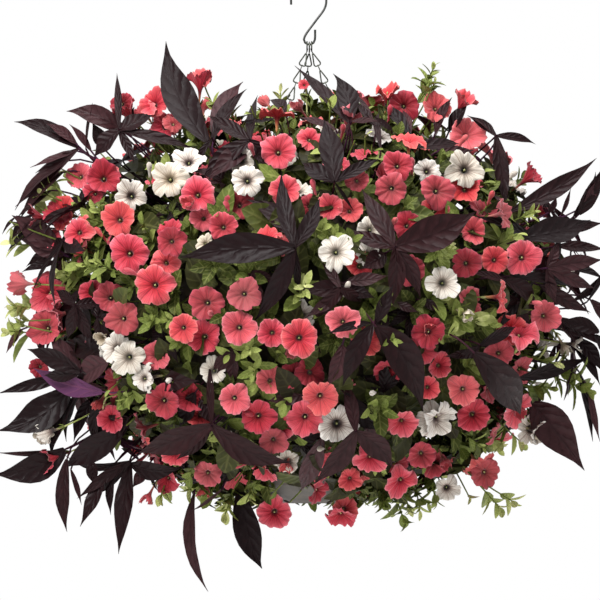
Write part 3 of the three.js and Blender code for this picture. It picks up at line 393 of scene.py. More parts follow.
class Patch:
    """Points, four-sided faces and shader cues of one piece while it is being made.

    A petal's cue is its bearing's cosine and sine and how far out it lies; a leaf's is how far
    along, how far across and how slim. A shade is two tones and how old or wilted it is; for a
    green leaf the last part also darkens it as painted shade deep in the ball.
    """

    def __init__(self):
        self.points, self.cues, self.shades, self.faces, self.kinds = [], [], [], [], []
        self.count = 0

    def add(self, points, faces, cue, shade, kind=0):
        """Add points with a cue of three numbers and a shade of three numbers each."""
        points = np.reshape(points, (-1, 3))
        self.points.append(points)
        self.cues.append(np.broadcast_to(np.reshape(cue, (-1, 3)), points.shape))
        self.shades.append(np.broadcast_to(np.reshape(shade, (-1, 3)), points.shape))
        self.faces.append(faces + self.count)
        self.kinds.append(np.full(len(faces), kind))
        self.count += len(points)

    def piece(self, name, materials, slot, *replaced):
        """Turn the patch into a piece that rides on the body and replaces solids."""
        points, faces = np.concatenate(self.points), np.concatenate(self.faces)
        mesh = bpy.data.meshes.new(name)
        mesh.vertices.add(len(points))
        mesh.loops.add(faces.size)
        mesh.polygons.add(len(faces))
        for rows, label, values in (
                (mesh.vertices, "co", points.astype(np.float32)),
                (mesh.loops, "vertex_index", faces.astype(np.int32)),
                (mesh.polygons, "loop_start", np.arange(0, faces.size, 4, dtype=np.int32)),
                (mesh.polygons, "loop_total", np.full(len(faces), 4, np.int32))):
            rows.foreach_set(label, values.reshape(-1))
        mesh.update(calc_edges=True)
        mesh.validate()
        for label, rows in (("cue", self.cues), ("shade", self.shades)):
            layer = mesh.attributes.new(label, "FLOAT_VECTOR", "POINT")
            layer.data.foreach_set("vector", np.concatenate(rows).astype(np.float32).reshape(-1))
        for material in materials:
            mesh.materials.append(material)
        mesh.polygons.foreach_set("material_index", np.concatenate(self.kinds).astype(np.int32))
        mesh.polygons.foreach_set("use_smooth", np.ones(len(faces), bool))
        mesh.update()
        made = bpy.data.objects.new(name, mesh)
        bpy.context.scene.collection.objects.link(made)
        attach(made, "root")
        if replaced:
            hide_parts(*replaced)
        return made


def net(rows, columns, closed=False):
    """Four-sided faces between rows of points; closed joins each row's ends."""
    across = columns if closed else columns - 1
    r, c = np.meshgrid(np.arange(rows - 1), np.arange(across), indexing="ij")
    r, c = r.reshape(-1), c.reshape(-1)
    nxt = (c + 1) % columns
    return np.stack([r * columns + c, r * columns + nxt, (r + 1) * columns + nxt,
                     (r + 1) * columns + c], axis=1)


def sheet(patch, base, directions, amounts, cue, shade, kind=0, closed=False, under=False):
    """Add rows of points: a base and each direction times its amount.

    The cue's three parts are shared out over the points; under turns the faces over.
    """
    points = base + sum(amount[..., None] * way for amount, way in zip(amounts, directions))
    shape = points.shape[:2]
    faces = net(*shape, closed)
    patch.add(points, faces[:, [0, 3, 2, 1]] if under else faces,
              np.stack([np.broadcast_to(part, shape) for part in cue], axis=-1), shade, kind)


def rod(patch, path, radii, sides, shade, kind=0, closed=False, paint=None):
    """A round rod along a path of points, with a radius at each; paint fixes its cue."""
    path = np.asarray(path, float)
    if closed:
        ahead = unit(np.roll(path, -1, axis=0) - np.roll(path, 1, axis=0))
    else:
        ahead = unit(np.gradient(path, axis=0))
    across = [crosswise(ahead[0], (0.31, 0.2, 0.93))]
    for direction in ahead:
        across.append(crosswise(direction, across[-1]))
    across = np.array(across[1:])
    over = np.cross(ahead, across)
    order = np.arange(len(path) + closed) % len(path)
    radii = np.broadcast_to(radii, len(path))[order, None]
    turn = np.linspace(0, 2 * np.pi, sides, endpoint=False)
    cue = paint or (np.linspace(0, 1, len(order))[:, None], np.cos(turn), 0.0)
    sheet(patch, path[order, None], (across[order, None], over[order, None]),
          (radii * np.cos(turn), radii * np.sin(turn)), cue, shade, kind, closed=True)


def welded(node, within=2e-5):
    """A solid's points and triangles, with points that lie together made one."""
    mesh = NODES[node].data
    points = np.empty(len(mesh.vertices) * 3)
    mesh.vertices.foreach_get("co", points)
    points = points.reshape(-1, 3)
    keys = np.round(points / within).astype(np.int64)
    _, first, place = np.unique(keys, axis=0, return_index=True, return_inverse=True)
    mesh.calc_loop_triangles()
    triangles = np.empty(len(mesh.loop_triangles) * 3, np.int64)
    mesh.loop_triangles.foreach_get("vertices", triangles)
    return points[first], place.reshape(-1)[triangles].reshape(-1, 3)


def fans(node):
    """Each point of a solid that many triangles meet in, with the ring of points round it."""
    points, triangles = welded(node)
    following = {}
    for a, b, c in triangles.tolist():
        for hub, near, far in ((a, b, c), (b, c, a), (c, a, b)):
            following.setdefault(hub, {})[near] = far
    for hub, after in following.items():
        if len(after) < 10:
            continue
        ring = [next(iter(after))]
        while len(ring) < len(after) and ring[-1] in after:
            ring.append(after[ring[-1]])
        if len(set(ring)) == len(after):
            yield points[hub], points[ring]


# How a solid bloom's notches and throat compare with its radius, and how nearly.
NOTCH_REACH, THROAT_DEPTH, LIKE = 0.842, 0.35, 0.02


def read_blooms(node):
    """The face middle, axis, first lobe direction and radius of each bloom in a solid.

    A bloom's ring is five lobes and five notches, and its proportions tell it from others.
    """
    found = []
    for throat, ring in fans(node):
        if len(ring) != 10:
            continue
        middle = ring.mean(axis=0)
        axis = unit(middle - throat)
        reach = norm(np.cross(ring - throat, axis), axis=1)
        far, depth = reach.max(), norm(middle - throat)
        if abs(reach.min() / far - NOTCH_REACH) < LIKE and abs(depth / far - THROAT_DEPTH) < LIKE:
            found.append((middle, axis, crosswise(axis, ring[reach.argmax()] - middle), far))
    return found


def read_leaves(node):
    """The middle, lobe tips and upper side of each lobed leaf in a solid.

    Its ring of points goes wide, tip, wide, notch for each lobe.
    """
    found = []
    for middle, ring in fans(node):
        if len(ring) % 4 or len(ring) < 12:
            continue
        far = norm(ring - middle, axis=1)
        start = (int(far.argmax()) - 1) % len(ring)
        ring, far = np.roll(ring, -start, axis=0), np.roll(far, -start)
        tips, notches = far[1::4], far[3::4]
        normal = unit(np.cross(ring - middle, np.roll(ring, -1, axis=0) - middle).sum(axis=0))
        facing = np.dot(normal, outward(middle)) > 0.2
        if facing and tips.min() > 0.018 and notches.max() < 0.4 * tips.min():
            found.append((middle, ring[1::4], normal))
    return found


# Petal stations from the tube's end to the rim: radius and height as shares of the
# bloom's radius.
PETAL_RADII = np.array([0.06, 0.08, 0.10, 0.125, 0.17, 0.25, 0.36, 0.48, 0.61, 0.74, 0.86,
                        0.95, 1.0])
PETAL_HEIGHTS = np.array([-1.25, -0.85, -0.62, -0.45, -0.33, -0.235, -0.165, -0.115, -0.07,
                          -0.035, -0.015, -0.012, -0.035])
# The same for a bloom that has not opened flat, a trumpet.
TRUMPET_HEIGHTS = np.array([-1.75, -1.38, -1.18, -1.02, -0.86, -0.70, -0.54, -0.40, -0.27,
                            -0.16, -0.07, -0.02, 0.0])
SPOKES = 50
LOBE_TURN = 2 * np.pi / 5
# A bud from its base to its tip: distance and thickness as shares of its length.
BUD_AT = np.array([0.0, 0.2, 0.45, 0.65, 0.8, 0.92, 1.0])
BUD_THICK = np.array([0.05, 0.06, 0.075, 0.12, 0.13, 0.09, 0.02])
BUD_BEND = 0.12
# Stations of a lobe from the leaf's middle to its tip: distance and half width as shares.
LOBE_AT = np.array([0.0, 0.08, 0.17, 0.27, 0.37, 0.47, 0.58, 0.69, 0.79, 0.88, 0.95, 1.0])
LOBE_WIDE = np.array([0.22, 0.45, 0.66, 0.86, 0.98, 1.0, 0.91, 0.70, 0.44, 0.20, 0.08, 0.01])
LOBE_ACROSS = np.array([-1.0, -0.55, -0.12, 0.12, 0.55, 1.0])
# The same for an oval green leaf.
LEAF_AT = np.array([0.0, 0.15, 0.37, 0.62, 0.85, 1.0])
LEAF_WIDE = np.array([0.08, 0.62, 0.98, 1.0, 0.66, 0.08])
LEAF_ACROSS = np.array([-1.0, -0.5, 0.0, 0.5, 1.0])


def corolla(patch, middle, axis, first, radius, rng, notch, age=0.0, shut=0.0, deep=0.0):
    """A petunia: five soft lobes with a ruffled rim, round a throat and a tube.

    Age lets the petals sag and brown, shut folds them forwards, and deep makes it a trumpet.
    """
    profile = PETAL_HEIGHTS + (TRUMPET_HEIGHTS - PETAL_HEIGHTS) * deep
    turn = np.linspace(0, 2 * np.pi, SPOKES, endpoint=False)
    lobe = np.abs(np.cos(2.5 * turn))
    share = PETAL_RADII[:, None]
    nearest = np.round(turn / LOBE_TURN)
    number, within = nearest.astype(int) % 5, turn - nearest * LOBE_TURN
    # Broad lobes whose edges are nearly straight, with a shallow dent in the middle of each.
    lengths = 1 + rng.uniform(-0.10, 0.09, 5)[number] * lobe
    dent = 0.035 * np.exp(-(within / 0.12) ** 2)
    outline = lengths * (1 - notch + notch * lobe ** 0.5 - dent)
    grown = smooth(0.3, 1.0, share)
    reach = share * (1 - grown * (1 - outline))
    phases = rng.uniform(0, 2 * np.pi, 6)
    height = profile[:, None] + rng.uniform(-0.46, 0.20, 5)[number] * lobe * share ** 2.5
    # Pleats: a sunken line along each lobe's middle and between lobes, ridges beside them.
    pleat = 0.055 * np.cos(10 * turn + 0.3 * np.sin(turn + phases[0]))
    height = height - pleat * smooth(0.15, 0.45, share) * (1.15 - 0.5 * share)
    height = height + 0.07 * (1 - lobe) ** 1.5 * smooth(0.3, 0.9, share)
    ruffle = (0.065 * np.sin(12 * turn + phases[1]) + 0.05 * np.sin(17 * turn + phases[2])
              + 0.07 * np.sin(4 * turn + phases[3]))
    height = height + ruffle * smooth(0.55, 1.0, share)
    height = height + 0.05 * np.sin(2 * turn + phases[4]) * share
    height = height + rng.uniform(-0.06, 0.12) * share ** 2 - age * share ** 2 * 0.5
    height = height + 0.8 * shut * share ** 1.5
    wobble = 1 + smooth(0.6, 1, share) * (
        0.034 * np.sin(3 * turn + phases[5]) + 0.022 * np.sin(8 * turn + phases[4])
        + 0.024 * np.sin(17 * turn + phases[1]))
    reach = radius * reach * wobble * (1 - 0.25 * age) * (1 - 0.62 * shut * grown)
    reach = reach * (1 - 0.22 * deep)
    sheet(patch, middle, (first, np.cross(axis, first), axis),
          (reach * np.cos(turn), reach * np.sin(turn), radius * height),
          (np.cos(turn), np.sin(turn), share), (rng.uniform(0, 1), rng.uniform(0, 1), age),
          closed=True)


def stalk(patch, start, back, tint, radius, steps):
    """A stalk that bends back from a bloom or a leaf into the leafy heart."""
    inside = shell(start - BALL_MIDDLE, -0.05)
    rod(patch, bend(start, back, inside, np.linspace(0, 1, steps)), radius, 5,
        (tint, 0.5, 0.0), 1)


def calyx(patch, place, axis, first, radius, rng):
    """Five narrow sepals, each with a sunken midrib, that hold the tube's end, and a stalk."""
    second = np.cross(axis, first)
    length, width = 0.5 * radius, 0.14 * radius
    t = np.linspace(0, 1, 4)[:, None]
    s = np.array([-1.0, 0.0, 1.0])
    half = 0.5 * width * np.sin(np.pi * np.clip(0.08 + 0.92 * t, 0, 1)) ** 0.7
    for k in range(5):
        a = LOBE_TURN * k + rng.uniform(-0.2, 0.2)
        out = math.cos(a) * first + math.sin(a) * second
        ahead = unit(axis + 0.45 * out)
        normal = unit(out - ahead * np.dot(out, ahead))
        sheet(patch, place - 0.002 * axis + 0.0008 * out,
              (ahead, np.cross(normal, ahead), normal),
              (t * length, s * half, abs(s) * half * 0.3 + 0.12 * length * t * t),
              (t, s, half / width), (rng.uniform(0, 1), 0.5, 0.0), 1)
    stalk(patch, place, place - STALK_BACK * axis, rng.uniform(0, 1), BLOOM_STALK, 6)


def bloom(patch, middle, axis, first, radius, rng, notch):
    """One bloom with its calyx and stalk; material 0 is the petal, 1 the green parts."""
    age = WILT if rng.uniform() < WILTED_SHARE else 0.0
    column, row = in_picture(middle)
    aside = abs(column - AXIS_COLUMN)
    rim = row < RIM_ROW or aside > RIM_ASIDE or (aside > CORNER_ASIDE and row < CORNER_ROW)
    deep = 1.0 if rim and middle[1] < 0.02 and axis[1] > -0.6 else 0.0
    corolla(patch, middle, axis, first, radius, rng, notch, age, 0.0, deep)
    end = middle + (TRUMPET_HEIGHTS if deep else PETAL_HEIGHTS)[0] * radius * axis
    rod(patch, [middle + h * radius * axis for h in (-0.9, -0.40, -0.29, -0.24)],
        np.array([0.02, 0.03, 0.058, 0.012]) * radius, 5, (0.95, 0.5, 0.0), 1)
    calyx(patch, end, axis, first, radius, rng)


def bud(patch, base, ahead, length, rng, withered=False):
    """An unopened bud, or a withered bloom that has folded up, in its calyx."""
    side = crosswise(ahead, rng.normal(size=3))
    if withered:
        radius = 0.58 * length
        corolla(patch, base - PETAL_HEIGHTS[0] * radius * ahead, ahead, side, radius, rng, 0.25,
                WILT, rng.uniform(0.55, 0.85))
    else:
        k = BUD_AT[:, None]
        path = base + length * (ahead * k + BUD_BEND * (side - (0, 0, 1)) * k * k)
        rod(patch, path, BUD_THICK * length, 7, (rng.uniform(0, 1), rng.uniform(0, 1), 0.1),
            paint=(1.0, 0.0, 0.86))
        radius = 0.7 * length
    calyx(patch, base, ahead, side, radius, rng)


def blade(patch, base, tip, normal, width, shade, rng, kinds=(0, 1), knee=None):
    """One folded blade from base to tip, with a drawn-out point and its own underside.

    A knee bends it: its spine then leaves the base towards the knee.
    """
    length = norm(tip - base)
    spine = bend(base, 0.5 * (base + tip) if knee is None else knee, tip, LOBE_AT)
    ahead = unit(np.gradient(spine, LOBE_AT, axis=0))
    side = unit(np.cross(normal, ahead))
    over = np.cross(ahead, side)
    loose = 1.0 if knee is None else 0.0
    sway = loose * rng.uniform(-0.10, 0.10)
    droop = rng.uniform(-0.02, 0.14)
    hook = loose * rng.uniform(-0.07, 0.07)
    t, half = LOBE_AT[:, None], 0.5 * width * LOBE_WIDE[:, None]
    s = LOBE_ACROSS
    edge = 0.09 * np.sin(t * rng.uniform(9, 14) + rng.uniform(0, 6))
    aside = half * s + length * (0.6 * sway * np.sin(np.pi * t) + hook * t ** 4)
    rise = (half * (0.32 * np.abs(s) + edge * s * np.abs(s))
            + droop * length * (0.25 * np.sin(np.pi * t) - t ** 3))
    for under in (0, 1):
        sheet(patch, spine[:, None], (side[:, None], over[:, None]),
              (aside, rise - under * 0.0006 * (1 - s ** 4)), (t, s, half / length), shade,
              kinds[under], under=under)


def lobed_leaf(patch, middle, tips, normal, rng, known=False):
    """A dark lobed leaf: one folded blade to each tip and a stalk."""
    tint = rng.uniform(0, 1)
    for tip in tips:
        width = norm(tip - middle) * rng.uniform(0.26, 0.38)
        if clear(tip):
            continue
        off = norm(LOBE_WIDTHS[:, :2] - in_picture(tip), axis=1)
        if known and off.min() < LOBE_FOUND:
            width = LOBE_WIDTHS[off.argmin(), 2] * METRES_PER_PIXEL
            if width == 0:
                continue
        blade(patch, middle - 0.0015 * normal, tip, normal, width,
              (tint, rng.uniform(0, 1), 0.0), rng)
    stalk(patch, middle, middle - 0.02 * normal, tint, LEAF_STALK, 7)


def green_leaf(patch, base, ahead, up, length, width, droop, shade):
    """One oval leaf, folded along its midrib and bending over."""
    side = unit(np.cross(up, ahead))
    t, s = LEAF_AT[:, None], LEAF_ACROSS
    half = 0.5 * width * LEAF_WIDE[:, None]
    sheet(patch, base, (ahead, side, np.cross(ahead, side)),
          (length * t, half * s, np.abs(s) * half * 0.35 - droop * length * t ** 2),
          (t, s, half / length), shade, 1)


def cues(tree):
    """The parts of each point's cue, the parts of its shade, and its place."""
    parts, tones = (
        add(tree, "SeparateXYZ", [add(tree, "Attribute", out="Vector", attribute_name=label)])
        .node.outputs for label in ("cue", "shade"))
    return parts, tones, add(tree, "TexCoord", out="Object")


def clouded(tree, place, tone, scale, detail, stops):
    """The colour that a petal's or leaf's own tone picks from a ramp, with clouds about it."""
    cloud = add(tree, "TexNoise", {"Vector": place, "Scale": scale, "Detail": detail})
    lean = add(tree, "Math", [cloud, 0.5, tone], operation="MULTIPLY_ADD")
    lean = add(tree, "Math", [lean, 0.25], operation="SUBTRACT")
    return add(tree, "ValToRGB", [lean], stops=stops)


def waves(tree, across, turns):
    """Even waves between nought and one."""
    wave = across
    for operation, *numbers in (("MULTIPLY", turns), ("COSINE",), ("MULTIPLY_ADD", 0.5, 0.5)):
        wave = add(tree, "Math", [wave, *numbers], operation=operation)
    return wave


def layers(tree, colour, *coats):
    """A colour under coats, each a share, a colour and a way to mix it."""
    for share, other, blend in coats:
        colour = add(tree, "Mix", {0: share, 6: colour, 7: other}, out=2, data_type="RGBA",
                     blend_type=blend)
    return colour


# Veins of a petal, coarse to fine: how many, how narrow, and their strength outwards.
PETAL_VEINS = ((5.0, 60.0, ((0.1, 1.0), (0.97, 0.8))),
               (25.0, 8.0, ((0.15, 1.0), (0.5, 0.85), (0.95, 0.3))),
               (50.0, 5.0, ((0.4, 0.0), (0.6, 0.6), (0.95, 0.25))))


def petal_material(name, stops, vein, deep_vein, washes, wilted, bleached):
    """Petunia petal: thin, matt and velvety, darker along branching veins and in the throat."""
    material, tree, shader = surface(name, Roughness=0.62, IOR=1.4, Sheen_Weight=0.25,
                                     Sheen_Roughness=0.4, Specular_IOR_Level=0.3)
    parts, tones, place = cues(tree)
    radial = parts[2]
    # The veins waver over about 4 mm.
    waver = add(tree, "TexNoise", {"Vector": place, "Scale": 250.0, "Detail": 2.0})
    angle = add(tree, "Math", [parts[1], parts[0]], operation="ARCTAN2")
    angle = add(tree, "Math", [waver, 0.12, angle], operation="MULTIPLY_ADD")
    veins = 0.0
    for count, power, reach in PETAL_VEINS:
        line = add(tree, "Math", [waves(tree, angle, count), power], operation="POWER")
        strength = add(tree, "ValToRGB", [radial], stops=reach)
        line = add(tree, "Math", [line, strength], operation="MULTIPLY")
        veins = add(tree, "Math", [veins, line], operation="MAXIMUM")
    share = add(tree, "Math", [veins, 0.9], operation="MULTIPLY")
    dark = add(tree, "ValToRGB", [radial], stops=((0.15, deep_vein), (0.6, vein)))
    # Each bloom leans to a deeper or a warmer shade, and clouds 12 mm wide vary it.
    wash = clouded(tree, place, tones[0], 80.0, 3.0, washes)
    # The sun has bleached some blooms more than others.
    pale = add(tree, "Math", [tones[1], 3.0], operation="POWER")
    pale = add(tree, "Math", [pale, 0.18], operation="MULTIPLY")
    colour = layers(tree, add(tree, "ValToRGB", [radial], stops=stops),
                    (share, dark, "MIX"), (1.0, wash, "MULTIPLY"), (pale, bleached, "MIX"),
                    (tones[2], wilted, "MIX"))
    dress(tree, shader, colour, veins, 0.35, 0.0006, True)
    return material


def leaf_material(name, stops, vein, vein_share, ribs, rough, quilt=0.6):
    """A leaf blade: a waxy skin over colour that varies from leaf to leaf, with sunken ribs.

    Quilt is how far the skin bulges between the ribs, in millimetres.
    """
    material, tree, shader = surface(name, Roughness=rough, IOR=1.45, Specular_IOR_Level=0.13)
    parts, tones, place = cues(tree)
    off = add(tree, "Math", [parts[1]], operation="ABSOLUTE")
    midrib = add(tree, "MapRange", [off, 0.0, 0.16, 1.0, 0.0])
    # The ribs slant towards the tip and waver, more from leaf to leaf than within one.
    waver = add(tree, "TexNoise", {"Vector": place, "Scale": 60.0, "Detail": 2.0})
    slant = parts[0]
    for value, much in ((off, -0.22), (waver, 0.16), (tones[1], 0.3)):
        slant = add(tree, "Math", [value, much, slant], operation="MULTIPLY_ADD")
    bulge = waves(tree, slant, 2 * math.pi * ribs)
    side_ribs = add(tree, "Math", [bulge, 9.0], operation="POWER")
    side_ribs = add(tree, "Math", [side_ribs, 0.6], operation="MULTIPLY")
    veins = add(tree, "Math", [midrib, side_ribs], operation="MAXIMUM")
    share = add(tree, "Math", [veins, vein_share], operation="MULTIPLY")
    # Clouds 11 mm wide, and over all a brown-black that the shade's last part mixes in: old age,
    # and painted shade for leaves deep in the ball.
    colour = layers(tree, clouded(tree, place, tones[0], 90.0, 4.0, stops),
                    (share, vein, "MIX"), (tones[2], "#20180f", "MIX"))
    sunk = add(tree, "Math", [veins, bulge], operation="ADD")
    dress(tree, shader, colour, sunk, 0.5, quilt / 1000, True)
    return material


def petunia_green():
    """Petunia leaf: a soft, slightly sticky skin, yellow-green when young and olive when old."""
    return bpy.data.materials.get("Petunia leaf") or leaf_material(
        "Petunia leaf", ((0.0, "#262a0e"), (0.3, "#40481c"), (0.55, "#626e31"),
                         (0.8, "#8c9551"), (1.0, "#c4c58a")), "#b3b26c", 0.24, 5.0, 0.5)


class StageSettings(bpy.types.PropertyGroup):
    """Floor, light and camera."""

    floor_drop: FloatProperty(name="Floor drop", description="Floor below the hanging point",
                              default=1.25, unit="LENGTH")
    distance: FloatProperty(name="Camera distance",
                            description="Camera in front of the hanging point",
                            default=36.0, unit="LENGTH")
    width: FloatProperty(name="View width", description="Width seen at the front of the flowers",
                         default=0.78, unit="LENGTH")


class FlowerSettings(bpy.types.PropertyGroup):
    """Blooms between the ones that the solids hold, and buds."""

    filling: IntProperty(name="Filling blooms", default=260,
                         description="Places tried for small blooms in gaps")
    buds: IntProperty(name="Buds", default=90, description="Buds and withered blooms laid by rule")
    bud_length: FloatProperty(name="Bud length", description="Length of an unopened bud",
                              default=0.030, unit="LENGTH")


class FoliageSettings(bpy.types.PropertyGroup):
    """Leaves between the blooms."""

    lobed_leaves: IntProperty(name="Lobed leaves", default=170,
                              description="Places tried for dark lobed leaves")
    shoots: IntProperty(name="Shoots", default=640, description="Leafy shoots all round the ball")
    shaded_old_leaves: IntProperty(name="Shaded old leaves", default=700,
                            description="Dark leaves under the blooms")
    leaf_length: FloatProperty(name="Leaf length", description="Length of a full leaf",
                               default=0.040, unit="LENGTH")


class BASKET_OT_stage(bpy.types.Operator):
    """Make the pale floor, the soft light and the camera."""

    bl_idname = "basket.stage"
    bl_label = "Stage"

    def execute(self, context):
        settings = context.scene.basket_stage
        scene = context.scene
        bpy.ops.mesh.primitive_circle_add(vertices=96, radius=2.4, fill_type="NGON",
                                          location=(0, 0, -settings.floor_drop))
        floor = context.object
        floor.name = "floor"
        # Matt white paper: no gloss, and hardly seen clouds 12 mm wide.
        floor.data.materials.append(finish(
            "Matt white paper", "TexNoise", {"Scale": 400.0, "Detail": 3.0},
            ((0.3, "#f2f1ef"), (0.7, "#f6f5f4")), coordinates="Generated", Roughness=0.9,
            Specular_IOR_Level=0.1))
        # White walls all round: the ceiling shines more than the floor, and the camera sees
        # plain white behind the basket.
        world = bpy.data.worlds.new("Soft white studio")
        world.use_nodes = True
        tree = world.node_tree
        height = add(tree, "SeparateXYZ", [add(tree, "TexCoord", out="Generated")], out=2)
        glow = add(tree, "MapRange", [height, -1.0, 1.0, 0.40, 0.92])
        backdrop = add(tree, "LightPath", out="Is Camera Ray")
        glow = add(tree, "Mix", {0: backdrop, 2: glow, 3: 1.0})
        tree.nodes["Background"].inputs[0].default_value = (1, 1, 1, 1)
        tree.links.new(glow, tree.nodes["Background"].inputs[1])
        scene.world = world
        for name, place, size, watts in (("key", (-1.3, -1.9, 1.5), 1.3, 105.0),
                                         ("top", (0.3, -0.2, 1.6), 1.8, 50.0)):
            lamp = bpy.data.lights.new(name, "AREA")
            lamp.size = size
            lamp.energy = watts
            light = bpy.data.objects.new(name, lamp)
            scene.collection.objects.link(light)
            light.location = place
            aim = BALL_MIDDLE - np.array(place)
            light.rotation_euler = Vector(aim.tolist()).to_track_quat("-Z", "Y").to_euler()
        camera = bpy.data.objects.new("camera", bpy.data.cameras.new("camera"))
        scene.collection.objects.link(camera)
        camera.location = ((PICTURE_MIDDLE - AXIS_COLUMN) * METRES_PER_PIXEL, -settings.distance,
                           -(PICTURE_MIDDLE - TOP_ROW) * METRES_PER_PIXEL)
        camera.rotation_euler = (math.pi / 2, 0, 0)
        camera.data.sensor_width = SENSOR
        camera.data.lens = SENSOR * (settings.distance - FRONT_OUT) / settings.width
        camera.data.clip_end = 60
        scene.camera = camera
        scene.view_settings.view_transform = "Standard"
        return {"FINISHED"}


def coat(node, material):
    """Give a solid that stays as it is its finish."""
    for slot in NODES[node].material_slots:
        slot.material = material


class BASKET_OT_pot(bpy.types.Operator):
    """Give the pot and its potting mix their finishes."""

    bl_idname = "basket.pot"
    bl_label = "Pot"

    def execute(self, context):
        # Moulded polypropylene, weathered: a dull brown-grey skin with a soft gloss and dust in
        # clouds 25 mm wide. Its mould grain of 0.5 mm is drawn at 1 mm so that it shows.
        coat("hanging_pot", finish(
            "Moulded polypropylene", "TexNoise", {"Scale": 40.0, "Detail": 6.0},
            ((0.3, "#35302a"), (0.55, "#453f38"), (0.8, "#5e594a")),
            ({"Scale": 1000.0}, 0.2, 0.0003), Roughness=0.5, IOR=1.49))
        # Peat potting mix: dark, matt crumbs 3 mm across.
        crumbs = {"Scale": 330.0}
        coat("soil", finish("Peat potting mix", "TexVoronoi", crumbs,
                            ((0.0, "#3a2d22"), (1.0, "#1d1611")), (crumbs, 0.8, 0.002),
                            Roughness=0.95))
        return {"FINISHED"}


# The chains' wire, from the solids: rings at both ends, links between, small rings across.
WIRE, JOINER_WIRE = 0.00095, 0.0007
RING, RING_GRIP = 0.0062, 0.0058
LINKS, LINK_LENGTH, LINK_HALF = 18, 0.018, 0.00425
JOINER_LONG, JOINER_END, JOINER_HALF = 0.0040, 0.0028, 0.0019
TURN = np.linspace(0, 2 * np.pi, 20, endpoint=False)
CIRCLE = np.stack([np.cos(TURN), np.sin(TURN)], axis=1)
# One side of a teardrop link, as half width and distance down, and then the whole.
DROP_SIDE = [(0.0, 0.0), (0.16, 0.06), (0.42, 0.30), (0.72, 0.56), (0.97, 0.78), (1.0, 0.88),
             (0.82, 0.97), (0.40, 1.0)]
TEARDROP = np.array(DROP_SIDE + [(0.0, 1.0)] + [(-wide, down) for wide, down in DROP_SIDE[:0:-1]])


class BASKET_OT_hanger(bpy.types.Operator):
    """Make the chains and give the hook its finish."""

    bl_idname = "basket.hanger"
    bl_label = "Hook and chains"

    def execute(self, context):
        # Galvanised wire: a dull grey zinc skin with faint streaks 3 mm apart.
        wire = finish("Galvanised steel wire", "TexNoise", {"Scale": 300.0, "Detail": 4.0},
                      ((0.3, "#353832"), (0.7, "#5b5d55")), Metallic=1.0, Roughness=0.38)
        # Enamelled hook: a dark grey-green coat, rubbed paler in specks 5 mm apart.
        coat("s_hook", finish("Dark enamelled steel", "TexNoise", {"Scale": 220.0, "Detail": 5.0},
                              ((0.35, "#1c1f1c"), (0.7, "#383a36")), Roughness=0.42, IOR=1.5))
        for name in ("right", "back", "left"):
            self.chain(name, wire)
        return {"FINISHED"}

    def chain(self, name, wire):
        """Teardrop links and small turned rings in place of one chain solid."""
        patch = Patch()

        def loop(middle, shape, one, other, radius, sides):
            """A closed wire: the shape laid along two directions."""
            path = middle + shape[:, :1] * one + shape[:, 1:] * other
            rod(patch, path, radius, sides, (0.5, 0.5, 0.5), closed=True)

        points, _ = welded("chain_" + name)
        high, low = points[:, 2].max(), points[:, 2].min()
        ring_out = RING + WIRE
        top = points[points[:, 2] > high - 2 * ring_out].mean(axis=0)
        foot = points[points[:, 2] < low + 2 * ring_out].mean(axis=0)
        top[2], foot[2] = high - ring_out, low + ring_out
        upright = np.array([0.0, 0.0, 1.0])
        loop(top, CIRCLE, RING * np.array([0.0, 1.0, 0.0]), RING * upright, WIRE, 8)
        loop(foot, CIRCLE, RING * unit(foot * (1, 1, 0)), RING * upright, WIRE, 8)
        start, end = top - RING_GRIP * upright, foot + RING_GRIP * upright
        down = unit(end - start)
        across = unit(np.cross(down, (0.0, 1.0, 0.0)))
        facing = np.cross(across, down)
        pitch = norm(end - start) / LINKS
        for k in range(LINKS):
            head = start + down * (k * pitch + (pitch - LINK_LENGTH) / 2)
            loop(head, TEARDROP, LINK_HALF * across, LINK_LENGTH * down, WIRE, 7)
        for k in range(LINKS + 1):
            half = JOINER_LONG if 0 < k < LINKS else JOINER_END
            loop(start + down * (k * pitch), CIRCLE[::2], half * down, JOINER_HALF * facing,
                 JOINER_WIRE, 6)
        patch.piece("links_" + name, [wire], "chain_wire", "chain_" + name)


def nearest_bunch(bunches, place, kind=""):
    """The name of the bunch of a kind that holds the bloom nearest to a place."""
    return min((name for name, held in bunches.items() if held and name.startswith(kind)),
               key=lambda name: min(norm(row[0] - place) for row in bunches[name]))


